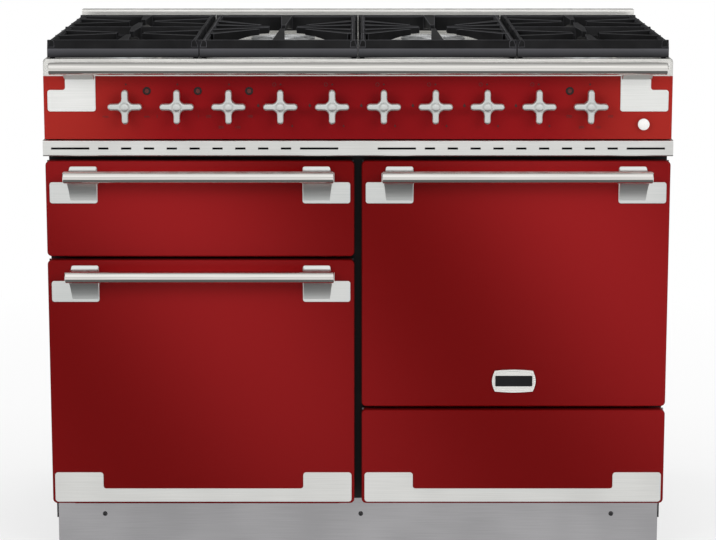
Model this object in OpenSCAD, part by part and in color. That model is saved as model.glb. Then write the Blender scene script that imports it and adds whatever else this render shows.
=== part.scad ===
// Range cooker, 110 cm wide: gas hob, grill, two ovens and a storage drawer.
// The front faces -Y, +Z is up, and the origin is on the floor under the middle of the cooker.

/* [Overall size] */
// Width of the hob and the control fascia
cooker_w = 1100; // [1060:5:1160]
// Height from the floor to the top edge of the hob rim
hob_h = 903; // [895:1:915]
// Depth from the door fronts to the back of the hob
body_depth = 605; // [595:5:640]
// How far the handles stand out in front of the doors
handle_reach = 48; // [44:1:56]

/* [Front layout] */
// Height of the hob rim
rim_h = 30; // [28:1:34]
// Height of the control fascia
fascia_h = 111; // [104:1:118]
// Height of the slotted vent trim
vent_h = 28; // [24:1:34]
// Gap between the vent trim and the doors
vent_gap = 9; // [8:1:12]
// Gap between a door and what is below it
door_gap = 7; // [7:0.5:9]
// Gap between the left and right banks of doors
bank_gap = 13; // [10:1:18]
// Height of the grill door
grill_door_h = 170; // [165:1:185]
// Height of the storage drawer front
drawer_h = 173; // [165:1:190]
// Height of the plinth's top edge above the floor
plinth_top = 97; // [92:1:105]

/* [Doors] */
// Depth of the outer enamelled door panel
skin_t = 20; // [18:1:22]
// Depth of the whole door, outer panel and inner pan
door_t = 43; // [40:1:46]
// Sheet thickness of the outer panels
skin_wall = 2; // [1.5:0.5:3]
// Corner radius of the door panels
door_corner = 8; // [6:1:12]
// Edge radius of the door panels
door_edge = 3; // [2:0.5:4]
// Hinge axis behind the door front
hinge_back = 14; // [13:0.5:15]
// Hinge axis above the door's lower edge
hinge_up = 12; // [12:0.5:14]
// Diameter of the hinge pins
hinge_pin_d = 8; // [6:1:9]

/* [Handles] */
// Diameter of the handle bars and the hob rail
bar_d = 21; // [18:1:24]
// Width of a handle bracket's upper tab and its arm
tab_w = 53; // [45:1:60]
// Height of a handle bracket's upper tab
tab_h = 28; // [24:1:34]
// Width of a handle bracket's lower plate
plate_w = 84; // [75:1:95]
// Height of a handle bracket's lower plate
plate_h = 38; // [32:1:44]
// Thickness of the bracket plates and corner trims
plate_t = 2; // [1.5:0.5:3]

/* [Controls] */
// Number of control knobs
knob_count = 10; // [10:1:10]
// Distance from one knob to the next
knob_pitch = 90; // [85:0.1:94]
// Tip to tip span of a knob's arms
knob_span = 60; // [54:1:64]
// Width of a knob's arms
knob_arm_w = 12; // [10:1:14]
// How far the knobs stand out
knob_reach = 33; // [28:1:38]
// Diameter of the control spindles
spindle_d = 8; // [6:1:9]
// Radial clearance of shafts and pins that turn
turn_clear = 0.05; // [0.02:0.01:0.1]
// Diameter of the light button
button_d = 20; // [16:1:24]

/* [Ovens] */
// Inside width of the oven cavities
cavity_w = 440; // [420:5:450]
// Inside depth of the oven cavities
cavity_depth = 400; // [380:5:420]
// Wire diameter of the shelf frames
shelf_wire = 6; // [5:0.5:7]
// Diameter of a convection fan
fan_d = 150; // [130:5:170]

/* [Hob] */
// Height of the pan supports above the hob rim
support_up = 32; // [28:1:36]
// Gap between the pan supports and the rear upstand
support_gap = 56; // [46:1:70]
// Radius of a standard burner head
burner_r = 38; // [32:1:42]
// Radius of a large burner head
wok_r = 58; // [50:1:62]
// Height of the rear upstand above the rim
upstand_up = 37; // [30:1:45]

/* [Hidden] */
$fn = 48;

// Clearance between pieces that move past each other
slide_clear = 0.3;
// Sheet thickness of the carcase
sheet = 2;
half_w = cooker_w / 2;

// Front to back planes
front_y = -(body_depth + handle_reach) / 2 + handle_reach;
rear_y = front_y + body_depth;
skin_back_y = front_y + skin_t;
door_back_y = front_y + door_t;
seal_t = 2.7;
frame_y = door_back_y + seal_t + slide_clear;
frame_back_y = frame_y + sheet;
service_gap = 30;
rear_panel_y = rear_y - service_gap;
bar_y = front_y - handle_reach + bar_d / 2;
hinge_y = front_y + hinge_back;

// Heights
rim_z = hob_h - rim_h;
fascia_z = rim_z - fascia_h;
vent_z = fascia_z - 2 - vent_h;
doors_top = vent_z - vent_gap;
door_low_z = plinth_top + 3;
grill_z = doors_top - grill_door_h;
left_top = grill_z - door_gap;
left_h = left_top - door_low_z;
right_z = door_low_z + drawer_h + door_gap;
right_h = doors_top - right_z;
tray_z = hob_h - 10;
support_z = hob_h + support_up;

// Sideways layout
side_inset = 1;
door_w = half_w - side_inset - bank_gap / 2;
bank_x = bank_gap / 2 + door_w / 2;
panel_x = half_w - 2;
inner_x = panel_x - sheet;

// How high an open door's inner face lies above its hinge axis
open_face = door_t - hinge_back;
floor_up = open_face + 9;
left_floor = door_low_z + hinge_up + floor_up;
right_floor = right_z + hinge_up + floor_up;
grill_floor = grill_z + hinge_up + open_face + 6;
left_roof = left_top - 46;
right_roof = doors_top - 43;
grill_roof = doors_top - 20;

knob_z = fascia_z + fascia_h * 0.535;
button_x = half_w - 51;
button_z = fascia_z + 27;

enamel = "#8c1216";
steel = "#c9cbcc";
black = "#1b1b1d";
iron = "#222224";
zinc = "#9fa3a5";

// Points round a rectangle with rounded corners, centred on the origin
function round_rect(w, h, r, n = 5) = [
    for (c = [[1, 1, 0], [-1, 1, 90], [-1, -1, 180], [1, -1, 270]]) for (i = [0:n])
        [c[0] * (w / 2 - r) + r * cos(c[2] + 90 * i / n), c[1] * (h / 2 - r) + r * sin(c[2] + 90 * i / n)]
];

// A flat plate in the XZ plane, from y towards +Y, with its outline centred on x and z
module upright_plate(x, y, z, w, h, t, r) {
    translate([x, y + t, z]) rotate([90, 0, 0]) linear_extrude(t) polygon(round_rect(w, h, r));
}

// A solid bar along X with the outline of a polygon in the YZ plane
module bar_along_x(x0, x1, points) {
    translate([x0, 0, 0]) rotate([90, 0, 90]) linear_extrude(x1 - x0) polygon(points);
}

module box(x0, x1, y0, y1, z0, z1) {
    translate([x0, y0, z0]) cube([x1 - x0, y1 - y0, z1 - z0]);
}

module rod_x(x0, x1, y, z, d) {
    translate([x0, y, z]) rotate([0, 90, 0]) cylinder(h = x1 - x0, d = d);
}

module rod_y(x, y0, y1, z, d) {
    translate([x, y1, z]) rotate([90, 0, 0]) cylinder(h = y1 - y0, d = d);
}

module rod_z(x, y, z0, z1, d) {
    translate([x, y, z0]) cylinder(h = z1 - z0, d = d);
}

// Carcase

foot_x = half_w - 70;
foot_front_y = frame_y + 60;
foot_rear_y = rear_panel_y - 60;
base_front_y = frame_back_y + sheet;

module base_tray() color(zinc) difference() {
    box(-inner_x, inner_x, base_front_y, rear_panel_y - sheet, plinth_top - 37, plinth_top);
    box(-inner_x + sheet, inner_x - sheet, base_front_y + sheet, rear_panel_y - 2 * sheet,
        plinth_top - 38, plinth_top - sheet);
}

// Adjustable feet: a pad, a hexagonal nut and a stem up to the tray
module levelling_feet() color(black)
    for (x = [-foot_x, foot_x], y = [foot_front_y, foot_rear_y]) translate([x, y, 0]) {
        cylinder(h = 8, d = 44);
        translate([0, 0, 8]) cylinder(h = 12, d1 = 40, d2 = 22);
        translate([0, 0, 20]) cylinder(h = 10, d = 24, $fn = 6);
        translate([0, 0, 30]) cylinder(h = plinth_top - sheet - 30, d = 12);
    }

screw_in = 89;
screw_mid = 5;
screw_x = [screw_in - half_w, screw_mid, half_w - screw_in];
screw_z = 66;
module plinth() color(steel) difference() {
    union() {
        box(-inner_x, inner_x, frame_back_y, base_front_y, 14, plinth_top - 1);
        for (s = [-1, 1]) box(s > 0 ? inner_x - sheet : -inner_x, s > 0 ? inner_x : sheet - inner_x,
            frame_back_y, base_front_y, 14, plinth_top - 1);
        box(-inner_x, inner_x, frame_back_y, base_front_y + 18, 14, 14 + sheet);
    }
    for (x = screw_x) rod_y(x, frame_back_y - 1, base_front_y + 1, screw_z, 5);
}

module side_panel(s) color(black) difference() {
    box(s > 0 ? inner_x : -panel_x, s > 0 ? panel_x : -inner_x, frame_y, rear_panel_y, plinth_top - 37, rim_z);
    for (i = [0:4]) box(s > 0 ? inner_x - 1 : -panel_x - 1, s > 0 ? panel_x + 1 : 1 - inner_x,
        rear_panel_y - 150, rear_panel_y - 60, rim_z - 70 - 12 * i, rim_z - 66 - 12 * i);
}
module side_panel_left() side_panel(-1);
module side_panel_right() side_panel(1);

inlet_x = half_w - 90;
inlet_z = knob_z;
inlet_d = 21;
louvre_count = 12;
terminal_x = -half_w + 150;
terminal_low_z = 640;
terminal_size = 120;
terminal_depth = 26;
cable_d = 16;
louvre_low_z = 400;
louvre_pitch = 18;
louvre_h = 5;
louvre_w = 180;

module rear_panel() color(zinc) {
    difference() {
        box(-inner_x, inner_x, rear_panel_y - sheet, rear_panel_y, plinth_top - 37, rim_z);
        rod_y(inlet_x, rear_panel_y - sheet - 1, rear_panel_y + 1, inlet_z, inlet_d + 4);
        for (s = [-1, 1], i = [0:louvre_count - 1])
            box(s * bank_x - louvre_w / 2, s * bank_x + louvre_w / 2, rear_panel_y - sheet - 1, rear_panel_y + 1,
                louvre_low_z + louvre_pitch * i, louvre_low_z + louvre_pitch * i + louvre_h);
    }
    // Pressed cover over the mains terminals, with its cable entry underneath
    x0 = terminal_x - terminal_size / 2;
    x1 = terminal_x + terminal_size / 2;
    top_z = terminal_low_z + terminal_size;
    difference() {
        box(x0, x1, rear_panel_y, rear_panel_y + terminal_depth, terminal_low_z, top_z);
        box(x0 + sheet, x1 - sheet, rear_panel_y, rear_panel_y + terminal_depth - sheet,
            terminal_low_z + sheet, top_z - sheet);
        rod_z(terminal_x, rear_panel_y + terminal_depth / 2, terminal_low_z - 1,
            terminal_low_z + sheet + 1, cable_d);
    }
}

// Face frame: black stiles and rails behind the doors, round an opening for each cavity and for the drawer
drawer_clear = 22;
drawer_x0 = bank_gap / 2 + drawer_clear;
drawer_x1 = half_w - side_inset - drawer_clear;
drawer_top = right_z - door_gap - 6;
frame_fold = 24;
seam = 0.1;

module frame_strip(x0, x1, z0, z1) box(x0 + seam, x1 - seam, frame_y, frame_back_y, z0 + seam, z1 - seam);

// A strip folded back along the carcase's outer edge, at its low or high end
module folded_strip(x0, x1, z0, z1, low) {
    frame_strip(x0, x1, z0, z1);
    fold_z = low ? z0 + seam : z1 - sheet - seam;
    box(x0 + seam, x1 - seam, frame_back_y, frame_back_y + frame_fold, fold_z, fold_z + sheet);
}

module outer_stile(s) {
    x0 = s < 0 ? -inner_x : drawer_x1;
    x1 = s < 0 ? -bank_x - cavity_w / 2 : inner_x;
    fold_x = s < 0 ? x0 : x1 - sheet;
    box(x0, x1, frame_y, frame_back_y, plinth_top, fascia_z);
    box(fold_x, fold_x + sheet, frame_back_y, frame_back_y + frame_fold, plinth_top, fascia_z);
}

module face_frame() color(black) {
    edges = [-bank_x - cavity_w / 2, -bank_x + cavity_w / 2, bank_x - cavity_w / 2, bank_x + cavity_w / 2];
    outer_stile(-1);
    outer_stile(1);
    frame_strip(edges[1], drawer_x0, plinth_top, fascia_z);
    frame_strip(drawer_x0, edges[2], drawer_top, fascia_z);
    frame_strip(edges[3], drawer_x1, drawer_top, fascia_z);
    folded_strip(edges[0], edges[1], plinth_top, left_floor, true);
    frame_strip(edges[0], edges[1], left_roof, grill_floor);
    folded_strip(edges[0], edges[1], grill_roof, fascia_z, false);
    folded_strip(drawer_x0, drawer_x1, plinth_top, door_low_z + 4, true);
    frame_strip(edges[2], edges[3], drawer_top, right_floor);
    folded_strip(edges[2], edges[3], right_roof, fascia_z, false);
}

// An enamelled cavity: five walls and a flange that bolts to the back of the face frame
liner_wall = 2;
liner_flange = 12;
liner_front_y = frame_back_y;
liner_back_y = liner_front_y + cavity_depth;

module liner(x, z0, z1, shaft_z) difference() {
    union() {
        box(x - cavity_w / 2 - liner_wall, x + cavity_w / 2 + liner_wall, liner_front_y,
            liner_back_y + liner_wall, z0 - liner_wall, z1 + liner_wall);
        box(x - cavity_w / 2 - liner_flange, x + cavity_w / 2 + liner_flange, liner_front_y,
            liner_front_y + liner_wall, z0 - 8, z1 + 8);
    }
    box(x - cavity_w / 2, x + cavity_w / 2, liner_front_y - 1, liner_back_y, z0, z1);
    if (shaft_z > 0) rod_y(x, liner_back_y - 1, liner_back_y + liner_wall + 1, shaft_z, motor_neck_d);
}

motor_neck_d = 24;
left_fan_z = (left_floor + left_roof) / 2;
right_fan_z = (right_floor + right_roof) / 2;

module left_oven_liner() color("#30343a") liner(-bank_x, left_floor, left_roof, left_fan_z);
module right_oven_liner() color("#30343a") liner(bank_x, right_floor, right_roof, right_fan_z);
module grill_liner() color("#30343a") liner(-bank_x, grill_floor, grill_roof, 0);

// Grill: a tube element bent into three loops under the cavity's roof
element_d = 8;
element_z = grill_roof - 16;
element_pitch = 52;
element_loops = 3;
element_front_y = liner_front_y + 70;
element_rear_y = liner_back_y - 60;

module half_ring(x, y, z, r, back) translate([x, y, z]) rotate([0, 0, back ? 0 : 180])
    rotate_extrude(angle = 180) translate([r, 0]) circle(d = element_d);

module grill_element() color("#7d6a5c") {
    first_x = -bank_x - element_pitch * (element_loops - 0.5);
    for (i = [0:2 * element_loops - 1]) {
        ends = i == 0 || i == 2 * element_loops - 1;
        rod_y(first_x + i * element_pitch, element_front_y, ends ? liner_back_y : element_rear_y,
            element_z, element_d);
    }
    for (i = [0:element_loops - 1])
        half_ring(first_x + (2 * i + 0.5) * element_pitch, element_front_y, element_z, element_pitch / 2, false);
    for (i = [0:element_loops - 2])
        half_ring(first_x + (2 * i + 1.5) * element_pitch, element_rear_y, element_z, element_pitch / 2, true);
}

// Convection fans: motor behind the liner, its shaft through the wall, the fan and its guard inside
fan_shaft_d = 6;
fan_depth = 14;
guard_stand = 26;

module fan_motor(x, z) {
    translate([x, liner_back_y + liner_wall + 46, z]) rotate([90, 0, 0]) {
        cylinder(h = 34, d = 76);
        translate([0, 0, 34]) cylinder(h = 12, d = 90);
    }
    rod_y(x, liner_back_y - 1, liner_back_y + liner_wall, z, motor_neck_d - 1);
    rod_y(x, liner_back_y - 20, liner_back_y, z, fan_shaft_d);
}
module fan_motors() color(zinc) {
    fan_motor(-bank_x, left_fan_z);
    fan_motor(bank_x, right_fan_z);
}

module fan(x, z) translate([x, liner_back_y - 3, z]) rotate([90, 0, 0]) difference() {
    union() {
        cylinder(h = fan_depth, d = 22);
        cylinder(h = 1.5, d = fan_d - 40);
        for (i = [0:7]) rotate([0, 0, 45 * i]) translate([fan_d / 2 - 32, -0.8, 0])
            rotate([0, 0, 20]) cube([30, 1.6, fan_depth]);
    }
    translate([0, 0, -1]) cylinder(h = fan_depth + 2, d = fan_shaft_d + 2 * turn_clear);
}
module left_fan() color(zinc) fan(-bank_x, left_fan_z);
module right_fan() color(zinc) fan(bank_x, right_fan_z);

guard_w = 210;
module fan_guard(x, z) difference() {
    union() {
        upright_plate(x, liner_back_y - guard_stand, z, guard_w, guard_w, 1.5, 14);
        for (sx = [-1, 1], sz = [-1, 1])
            rod_y(x + sx * (guard_w / 2 - 12), liner_back_y - guard_stand + 1, liner_back_y,
                z + sz * (guard_w / 2 - 12), 8);
    }
    for (ring = [1:3], i = [0:6 * ring - 1])
        rod_y(x + 20 * ring * cos(60 * i / ring), liner_back_y - guard_stand - 1, liner_back_y - guard_stand + 3,
            z + 20 * ring * sin(60 * i / ring), 12);
}
module fan_guards() color(steel) {
    fan_guard(-bank_x, left_fan_z);
    fan_guard(bank_x, right_fan_z);
}

// Side grids that carry the shelves, and the rails that carry the grill pan
ladder_wire = 5;
post_in = ladder_wire / 2 + 1;
rung_in = post_in + ladder_wire - 0.5;
// Gap between the closed door's inner face and the front of a shelf or the grill pan
shelf_behind = 6;
shelf_up = [120, 230];
grid_y0 = liner_front_y + 30;
grid_y1 = liner_back_y - 40;
shelf_drop = shelf_wire / 2 + ladder_wire / 2 + slide_clear;

module ladder(x, floor_z, roof_z, hinge_z) for (s = [-1, 1]) {
    wall_x = x + s * (cavity_w / 2);
    post_x = wall_x - s * post_in;
    for (y = [grid_y0 + 30, grid_y1 - 30]) {
        rod_z(post_x, y, floor_z + 30, roof_z - 30, ladder_wire);
        for (z = [floor_z + 40, roof_z - 40]) rod_x(min(wall_x, post_x), max(wall_x, post_x), y, z, ladder_wire - 1);
    }
    for (up = shelf_up) rod_y(wall_x - s * rung_in, grid_y0, grid_y1, hinge_z + up - shelf_drop, ladder_wire);
}

grill_pan_up = 75;
grill_rail_z = grill_z + hinge_up + grill_pan_up + 22;
pan_w = 380;
pan_lip = 14;
module grill_rails() for (s = [-1, 1]) {
    wall_x = -bank_x + s * cavity_w / 2;
    edge_x = -bank_x + s * (pan_w / 2 + 3);
    box(min(wall_x, edge_x), max(wall_x, edge_x), grid_y0, grid_y1, grill_rail_z - 2, grill_rail_z);
}

module shelf_ladders() color(steel) {
    ladder(-bank_x, left_floor, left_roof, door_low_z + hinge_up);
    ladder(bank_x, right_floor, right_roof, right_z + hinge_up);
    grill_rails();
}

// Wire shelves: a round-wire frame with thinner wires across it
shelf_bar = 3;
shelf_bars = 11;
shelf_y0 = door_back_y + shelf_wire / 2 + shelf_behind;
shelf_y1 = grid_y1 - 8;
shelf_w = cavity_w - 2 * rung_in - 4;

module shelf(x, z) {
    x0 = x - shelf_w / 2;
    x1 = x + shelf_w / 2;
    for (e = [x0, x1]) rod_y(e, shelf_y0, shelf_y1, z, shelf_wire);
    for (y = [shelf_y0, shelf_y1]) rod_x(x0, x1, y, z, shelf_wire);
    for (e = [x0, x1], y = [shelf_y0, shelf_y1]) translate([e, y, z]) sphere(d = shelf_wire);
    step = (x1 - x0) / (shelf_bars + 1);
    for (i = [1:shelf_bars]) rod_y(x0 + i * step, shelf_y0, shelf_y1, z, shelf_bar);
}
module left_oven_shelves() color(steel)
    for (up = shelf_up) shelf(-bank_x, door_low_z + hinge_up + up);
module right_oven_shelves() color(steel)
    for (up = shelf_up) shelf(bank_x, right_z + hinge_up + up);

// Grill pan: an enamelled tray hung on its rails by two lips
pan_y0 = door_back_y + shelf_behind;
pan_y1 = liner_front_y + 330;
pan_top_z = grill_rail_z + slide_clear;
pan_bottom_z = grill_rail_z - 22;
module grill_pan() color("#2a2c30") difference() {
    union() {
        box(-bank_x - pan_w / 2, -bank_x + pan_w / 2, pan_y0, pan_y1, pan_bottom_z, pan_top_z);
        box(-bank_x - pan_w / 2 - pan_lip, -bank_x + pan_w / 2 + pan_lip, pan_y0, pan_y1,
            pan_top_z, pan_top_z + sheet);
    }
    box(-bank_x - pan_w / 2 + sheet, -bank_x + pan_w / 2 - sheet, pan_y0 + sheet, pan_y1 - sheet,
        pan_bottom_z + sheet, pan_top_z + 3);
}

// Runners for the drawer: an angle that stands on the base tray, with a rail along its inner side
drawer_wall_x0 = drawer_x0 + 16;
drawer_wall_x1 = drawer_x1 - 16;
drawer_rail_z = door_low_z + 60;
drawer_rail_h = 10;
runner_y0 = frame_back_y + 24.5;
runner_y1 = rear_panel_y - 40;
drawer_y1 = liner_back_y + 20;

module drawer_runner(x, s) {
    box(min(x, x - s * 2), max(x, x - s * 2), runner_y0, runner_y1, plinth_top, drawer_rail_z + drawer_rail_h + 6);
    box(min(x - s * 2, x + s * 18), max(x - s * 2, x + s * 18), runner_y0, runner_y1, plinth_top, plinth_top + 2);
    for (z = [drawer_rail_z - 4, drawer_rail_z + drawer_rail_h + 2])
        box(min(x, x - s * 13), max(x, x - s * 13), runner_y0, runner_y1, z, z + 2);
}
module drawer_runners() color(zinc) {
    drawer_runner(drawer_x0 - 1, -1);
    drawer_runner(drawer_x1 + 1, 1);
}

// Gas pipework: the inlet through the rear panel, the pipe along the side, the rail behind the fascia,
// and one tap or switch with its spindle for each knob
pipe_d = 20;
pipe_y = front_y + 42;
tap_d = 30;
inlet_reach = 22;

module gas_manifold() color("#b9a05a") {
    rod_x(knob_x(1), inlet_x, pipe_y, knob_z, pipe_d);
    translate([inlet_x, pipe_y, knob_z]) sphere(d = pipe_d);
    rod_y(inlet_x, pipe_y, rear_panel_y - 30, inlet_z, pipe_d);
    rod_y(inlet_x, rear_panel_y - 34, rear_panel_y - sheet, inlet_z, inlet_d + 9);
    rod_y(inlet_x, rear_panel_y - sheet - 1, rear_panel_y + inlet_reach, inlet_z, inlet_d);
    for (i = [1:knob_count]) {
        rod_y(knob_x(i), front_y + sheet, pipe_y, knob_z, tap_d);
        rod_y(knob_x(i), front_y - knob_reach + 9, front_y + sheet, knob_z, spindle_d);
    }
}

function knob_x(i) = (i - (knob_count + 1) / 2) * knob_pitch;

// Control fascia and vent trim
lens_x = [knob_x(1) + 36.5, knob_x(2) + 35.5, knob_x(3) + 35, knob_x(10) - 35.5];
lens_z = fascia_z + 85;
lens_d = 8;

module control_fascia() color(enamel) difference() {
    union() {
        box(-panel_x - 1, panel_x + 1, front_y, front_y + sheet, fascia_z, rim_z);
        box(-panel_x - 1, panel_x + 1, front_y + sheet, frame_y, fascia_z, fascia_z + sheet);
        box(1 - inner_x, inner_x - 1, frame_y, frame_y + 12, fascia_z, fascia_z + sheet);
        box(-panel_x - 1, panel_x + 1, front_y + sheet, front_y + 30, rim_z - sheet, rim_z);
        for (s = [-1, 1]) box(s > 0 ? panel_x - 1 : -panel_x - 1, s > 0 ? panel_x + 1 : 1 - panel_x,
            front_y + sheet, frame_y, fascia_z, rim_z);
    }
    for (i = [1:knob_count]) rod_y(knob_x(i), front_y - 1, front_y + sheet + 1, knob_z, spindle_d + 2);
    for (x = lens_x) rod_y(x, front_y - 1, front_y + sheet + 1, lens_z, lens_d + 0.4);
    rod_y(button_x, front_y - 1, front_y + sheet + 1, button_z, button_d / 2 + 2 * turn_clear);
}

module indicator_lenses() color("#3a2a1a") for (x = lens_x) {
    rod_y(x, front_y - 0.5, front_y + 8, lens_z, lens_d);
    rod_y(x, front_y + sheet, front_y + 8, lens_z, lens_d + 4);
}

vent_proud = 3;
slot_h = 3.6;
slot_short = 18;
slot_long = 67;
slot_pitch = 40;
slot_count = 9;
slot_row_x = half_w * 0.52;
slot_end = 58;
vent_w = cooker_w + 4;

// The slots of one half of the vent trim: a long one at each end and a row of short ones between
module vent_slots(s) {
    z = vent_z + vent_h / 2;
    row = (slot_count - 1) * slot_pitch;
    for (x = concat([-row / 2 - slot_end, row / 2 + slot_end],
                    [for (i = [0:slot_count - 1]) i * slot_pitch - row / 2])) {
        len = abs(x) > row / 2 + 1 ? slot_long : slot_short;
        cx = s * (slot_row_x + x);
        box(cx - len / 2, cx + len / 2, front_y - vent_proud - 1, front_y - vent_proud + 3,
            z - slot_h / 2, z + slot_h / 2);
    }
}

module vent_trim() color(steel) difference() {
    bar_along_x(-vent_w / 2, vent_w / 2, [
        for (a = [0:18:90]) [front_y - vent_proud + 3 - 3 * cos(a), vent_z + vent_h - 3 + 3 * sin(a)],
        [frame_y, vent_z + vent_h], [frame_y, vent_z + vent_h - 2],
        [front_y - vent_proud + 2, vent_z + vent_h - 2], [front_y - vent_proud + 2, vent_z + 2],
        [front_y + 20, vent_z + 2], [front_y + 20, vent_z],
        for (a = [0:18:90]) [front_y - vent_proud + 3 - 3 * sin(a), vent_z + 3 - 3 * cos(a)]
    ]);
    vent_slots(-1);
    vent_slots(1);
}

// Hob: a steel tray with a rounded rim and an upstand along its back
rim_w = 6;
hob_wall = 6;
hob_front_y = front_y + 1;
hob_corner = 8;
upstand_depth = 36;
upstand_round = 4;
upstand_slots = 12;
upstand_pitch = 40;

module plan_slab(w, y0, y1, z0, z1, r) {
    translate([0, (y0 + y1) / 2, z0]) linear_extrude(z1 - z0) polygon(round_rect(w, y1 - y0, r));
}

module hob_top() color(steel) {
    r = upstand_round;
    back_y = rear_y - 3;
    round_z = hob_h + upstand_up - r;
    difference() {
        union() {
            plan_slab(cooker_w, hob_front_y, rear_y, rim_z, hob_h - 5, hob_corner);
            plan_slab(cooker_w - 2, hob_front_y + 1, rear_y - 1, hob_h - 5, hob_h - 2, hob_corner - 1);
            plan_slab(cooker_w - 6, hob_front_y + 3, rear_y - 3, hob_h - 2, hob_h, hob_corner - 3);
        }
        plan_slab(cooker_w - 2 * rim_w, hob_front_y + rim_w, rear_y - rim_w, tray_z, hob_h + 1, 6);
        plan_slab(cooker_w - 2 * hob_wall, hob_front_y + hob_wall, rear_y - hob_wall, rim_z - 1, tray_z - 2, 4);
    }
    difference() {
        bar_along_x(-half_w + 3, half_w - 3, [
            [back_y, hob_h], [back_y, round_z],
            for (a = [0:22.5:90]) [back_y - r + r * cos(a), round_z + r * sin(a)],
            for (a = [90:22.5:180]) [rear_y - upstand_depth + r + r * cos(a), round_z + r * sin(a)],
            [rear_y - upstand_depth, tray_z], [rear_y - rim_w, tray_z], [rear_y - rim_w, hob_h]
        ]);
        for (i = [-upstand_slots:upstand_slots]) box(i * upstand_pitch - 14, i * upstand_pitch + 14,
            rear_y - 24, rear_y - 16, round_z - 1, hob_h + upstand_up + 1);
    }
}

// Handles: a bar on two bracket plates, each with a wide arm that sweeps forward from its upper tab

// Outline of a bracket plate, its inner edge on x = 0 and its upper tab's middle on z = 0
module bracket_plate(s, step) {
    r = 4;
    w = tab_w - step;
    translate([s * w / 2, 0, -r]) upright_plate(0, 0, 0, w, tab_h + 2 * r, plate_t, r);
    translate([s * plate_w / 2, 0, 0]) upright_plate(0, 0, -tab_h / 2 - plate_h / 2, plate_w, plate_h, plate_t, r);
}

// Side profile of a door handle's arm: down its tab into the bar, and back under the bar into the plate
tab_step = 4;
function door_arm_profile(reach) = let (top = tab_h / 2 - 0.8, foot = -tab_h / 2 - plate_h + 5) concat(
    [for (p = [[0, 1], [0.035, 0.85], [0.07, 0.66], [0.12, 0.46], [0.18, 0.385], [1, 0.37]])
        [-reach * p[0], top * p[1]]],
    [for (p = [[1, 0.1], [0.61, 0.17], [0.45, 0.245], [0.32, 0.35], [0.22, 0.47], [0.14, 0.61],
               [0.07, 0.77], [0.03, 0.9], [0, 1]]) [-reach * p[0], foot * p[1]]]);

// Side profile of the hob rail's arm, from the tab at y = 0 forward into the bar at -reach, rising by lift
function rail_arm_profile(reach, lift) = let (r = bar_d / 2, base = tab_h / 2) [
    [0, base - 2], [-reach * 0.35, lift * 0.45 + base - 1.4], [-reach * 0.7, lift * 0.85 + r + 0.6],
    [-reach, lift + r - 0.3], [-reach - r * 0.6, lift], [-reach, lift - r + 0.3],
    [-reach * 0.82, lift - r * 0.72], [-reach * 0.62, lift * 0.9 - r * 0.25],
    [-reach * 0.35, lift * 0.4 - base * 0.2], [0, -base * 0.5]
];

module handle(x0, x1, z, y, reach, lift, over) {
    step = over > 0 ? 0 : tab_step;
    profile = over > 0 ? rail_arm_profile(reach - plate_t, lift) : door_arm_profile(reach - plate_t);
    rod_x(x0 - over, x1 + over, y - reach, z + lift, bar_d);
    for (s = [-1, 1]) translate([s < 0 ? x0 - over : x1 + over, y - reach, z + lift]) rotate([0, s * 90, 0])
        cylinder(h = 2.5, d1 = bar_d, d2 = bar_d - 5);
    for (s = [-1, 1]) {
        inner = s < 0 ? x0 + tab_w : x1 - tab_w;
        translate([inner, y - plate_t, z]) bracket_plate(s, step);
        translate([0, y - plate_t, z])
            bar_along_x(s < 0 ? x0 + 1 + step : inner, s < 0 ? inner : x1 - 1 - step, profile);
    }
}

handle_in = plate_w - tab_w + 7;
handle_drop = tab_h / 2 + 9;
bar_stand = front_y - bar_y;
left_x0 = -bank_x - door_w / 2;
right_x0 = bank_x - door_w / 2;

module door_handle(x_low, top_z) color(steel)
    handle(x_low + handle_in, x_low + door_w - handle_in, top_z - handle_drop, front_y, bar_stand, 0, 0);

rail_lift = 27;
rail_tab_z = rim_z - 10;
module hob_rail() color(steel) {
    handle(-half_w + handle_in + 1, half_w - handle_in - 1, rail_tab_z, front_y, bar_stand, rail_lift, 21);
}

// Doors: an outer panel with folded edges, an inner pan with the hinge ears, hinge arms on the frame
module slab(w, h, t, corner, edge) hull() for (sx = [-1, 1], sz = [-1, 1])
    translate([sx * (w / 2 - corner), t, sz * (h / 2 - corner)]) rotate([90, 0, 0]) {
        cylinder(h = t - edge, r = corner, $fn = 32);
        translate([0, 0, t - edge]) rotate_extrude($fn = 32) translate([corner - edge, 0]) circle(r = edge, $fn = 16);
    }

arm_t = 5;
ear_in = 40;
ear_gap = 0.4;
arm_half = 6;
arm_end_r = 7;

module door_panel(x, z0, h, notch) color(enamel) difference() {
    translate([x, front_y, z0 + h / 2]) slab(door_w, h, skin_t, door_corner, door_edge);
    box(x - door_w / 2 + skin_wall, x + door_w / 2 - skin_wall, front_y + skin_wall, skin_back_y + 1,
        z0 + skin_wall, z0 + h - skin_wall);
    if (notch) for (s = [-1, 1]) {
        arm_x = x + s * (door_w / 2 - ear_in + arm_t / 2 + ear_gap + arm_t / 2);
        box(arm_x - arm_t / 2 - 2, arm_x + arm_t / 2 + 2, hinge_y - arm_half - 2, skin_back_y + 1,
            z0 - 1, z0 + skin_wall + 1);
    }
}

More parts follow.
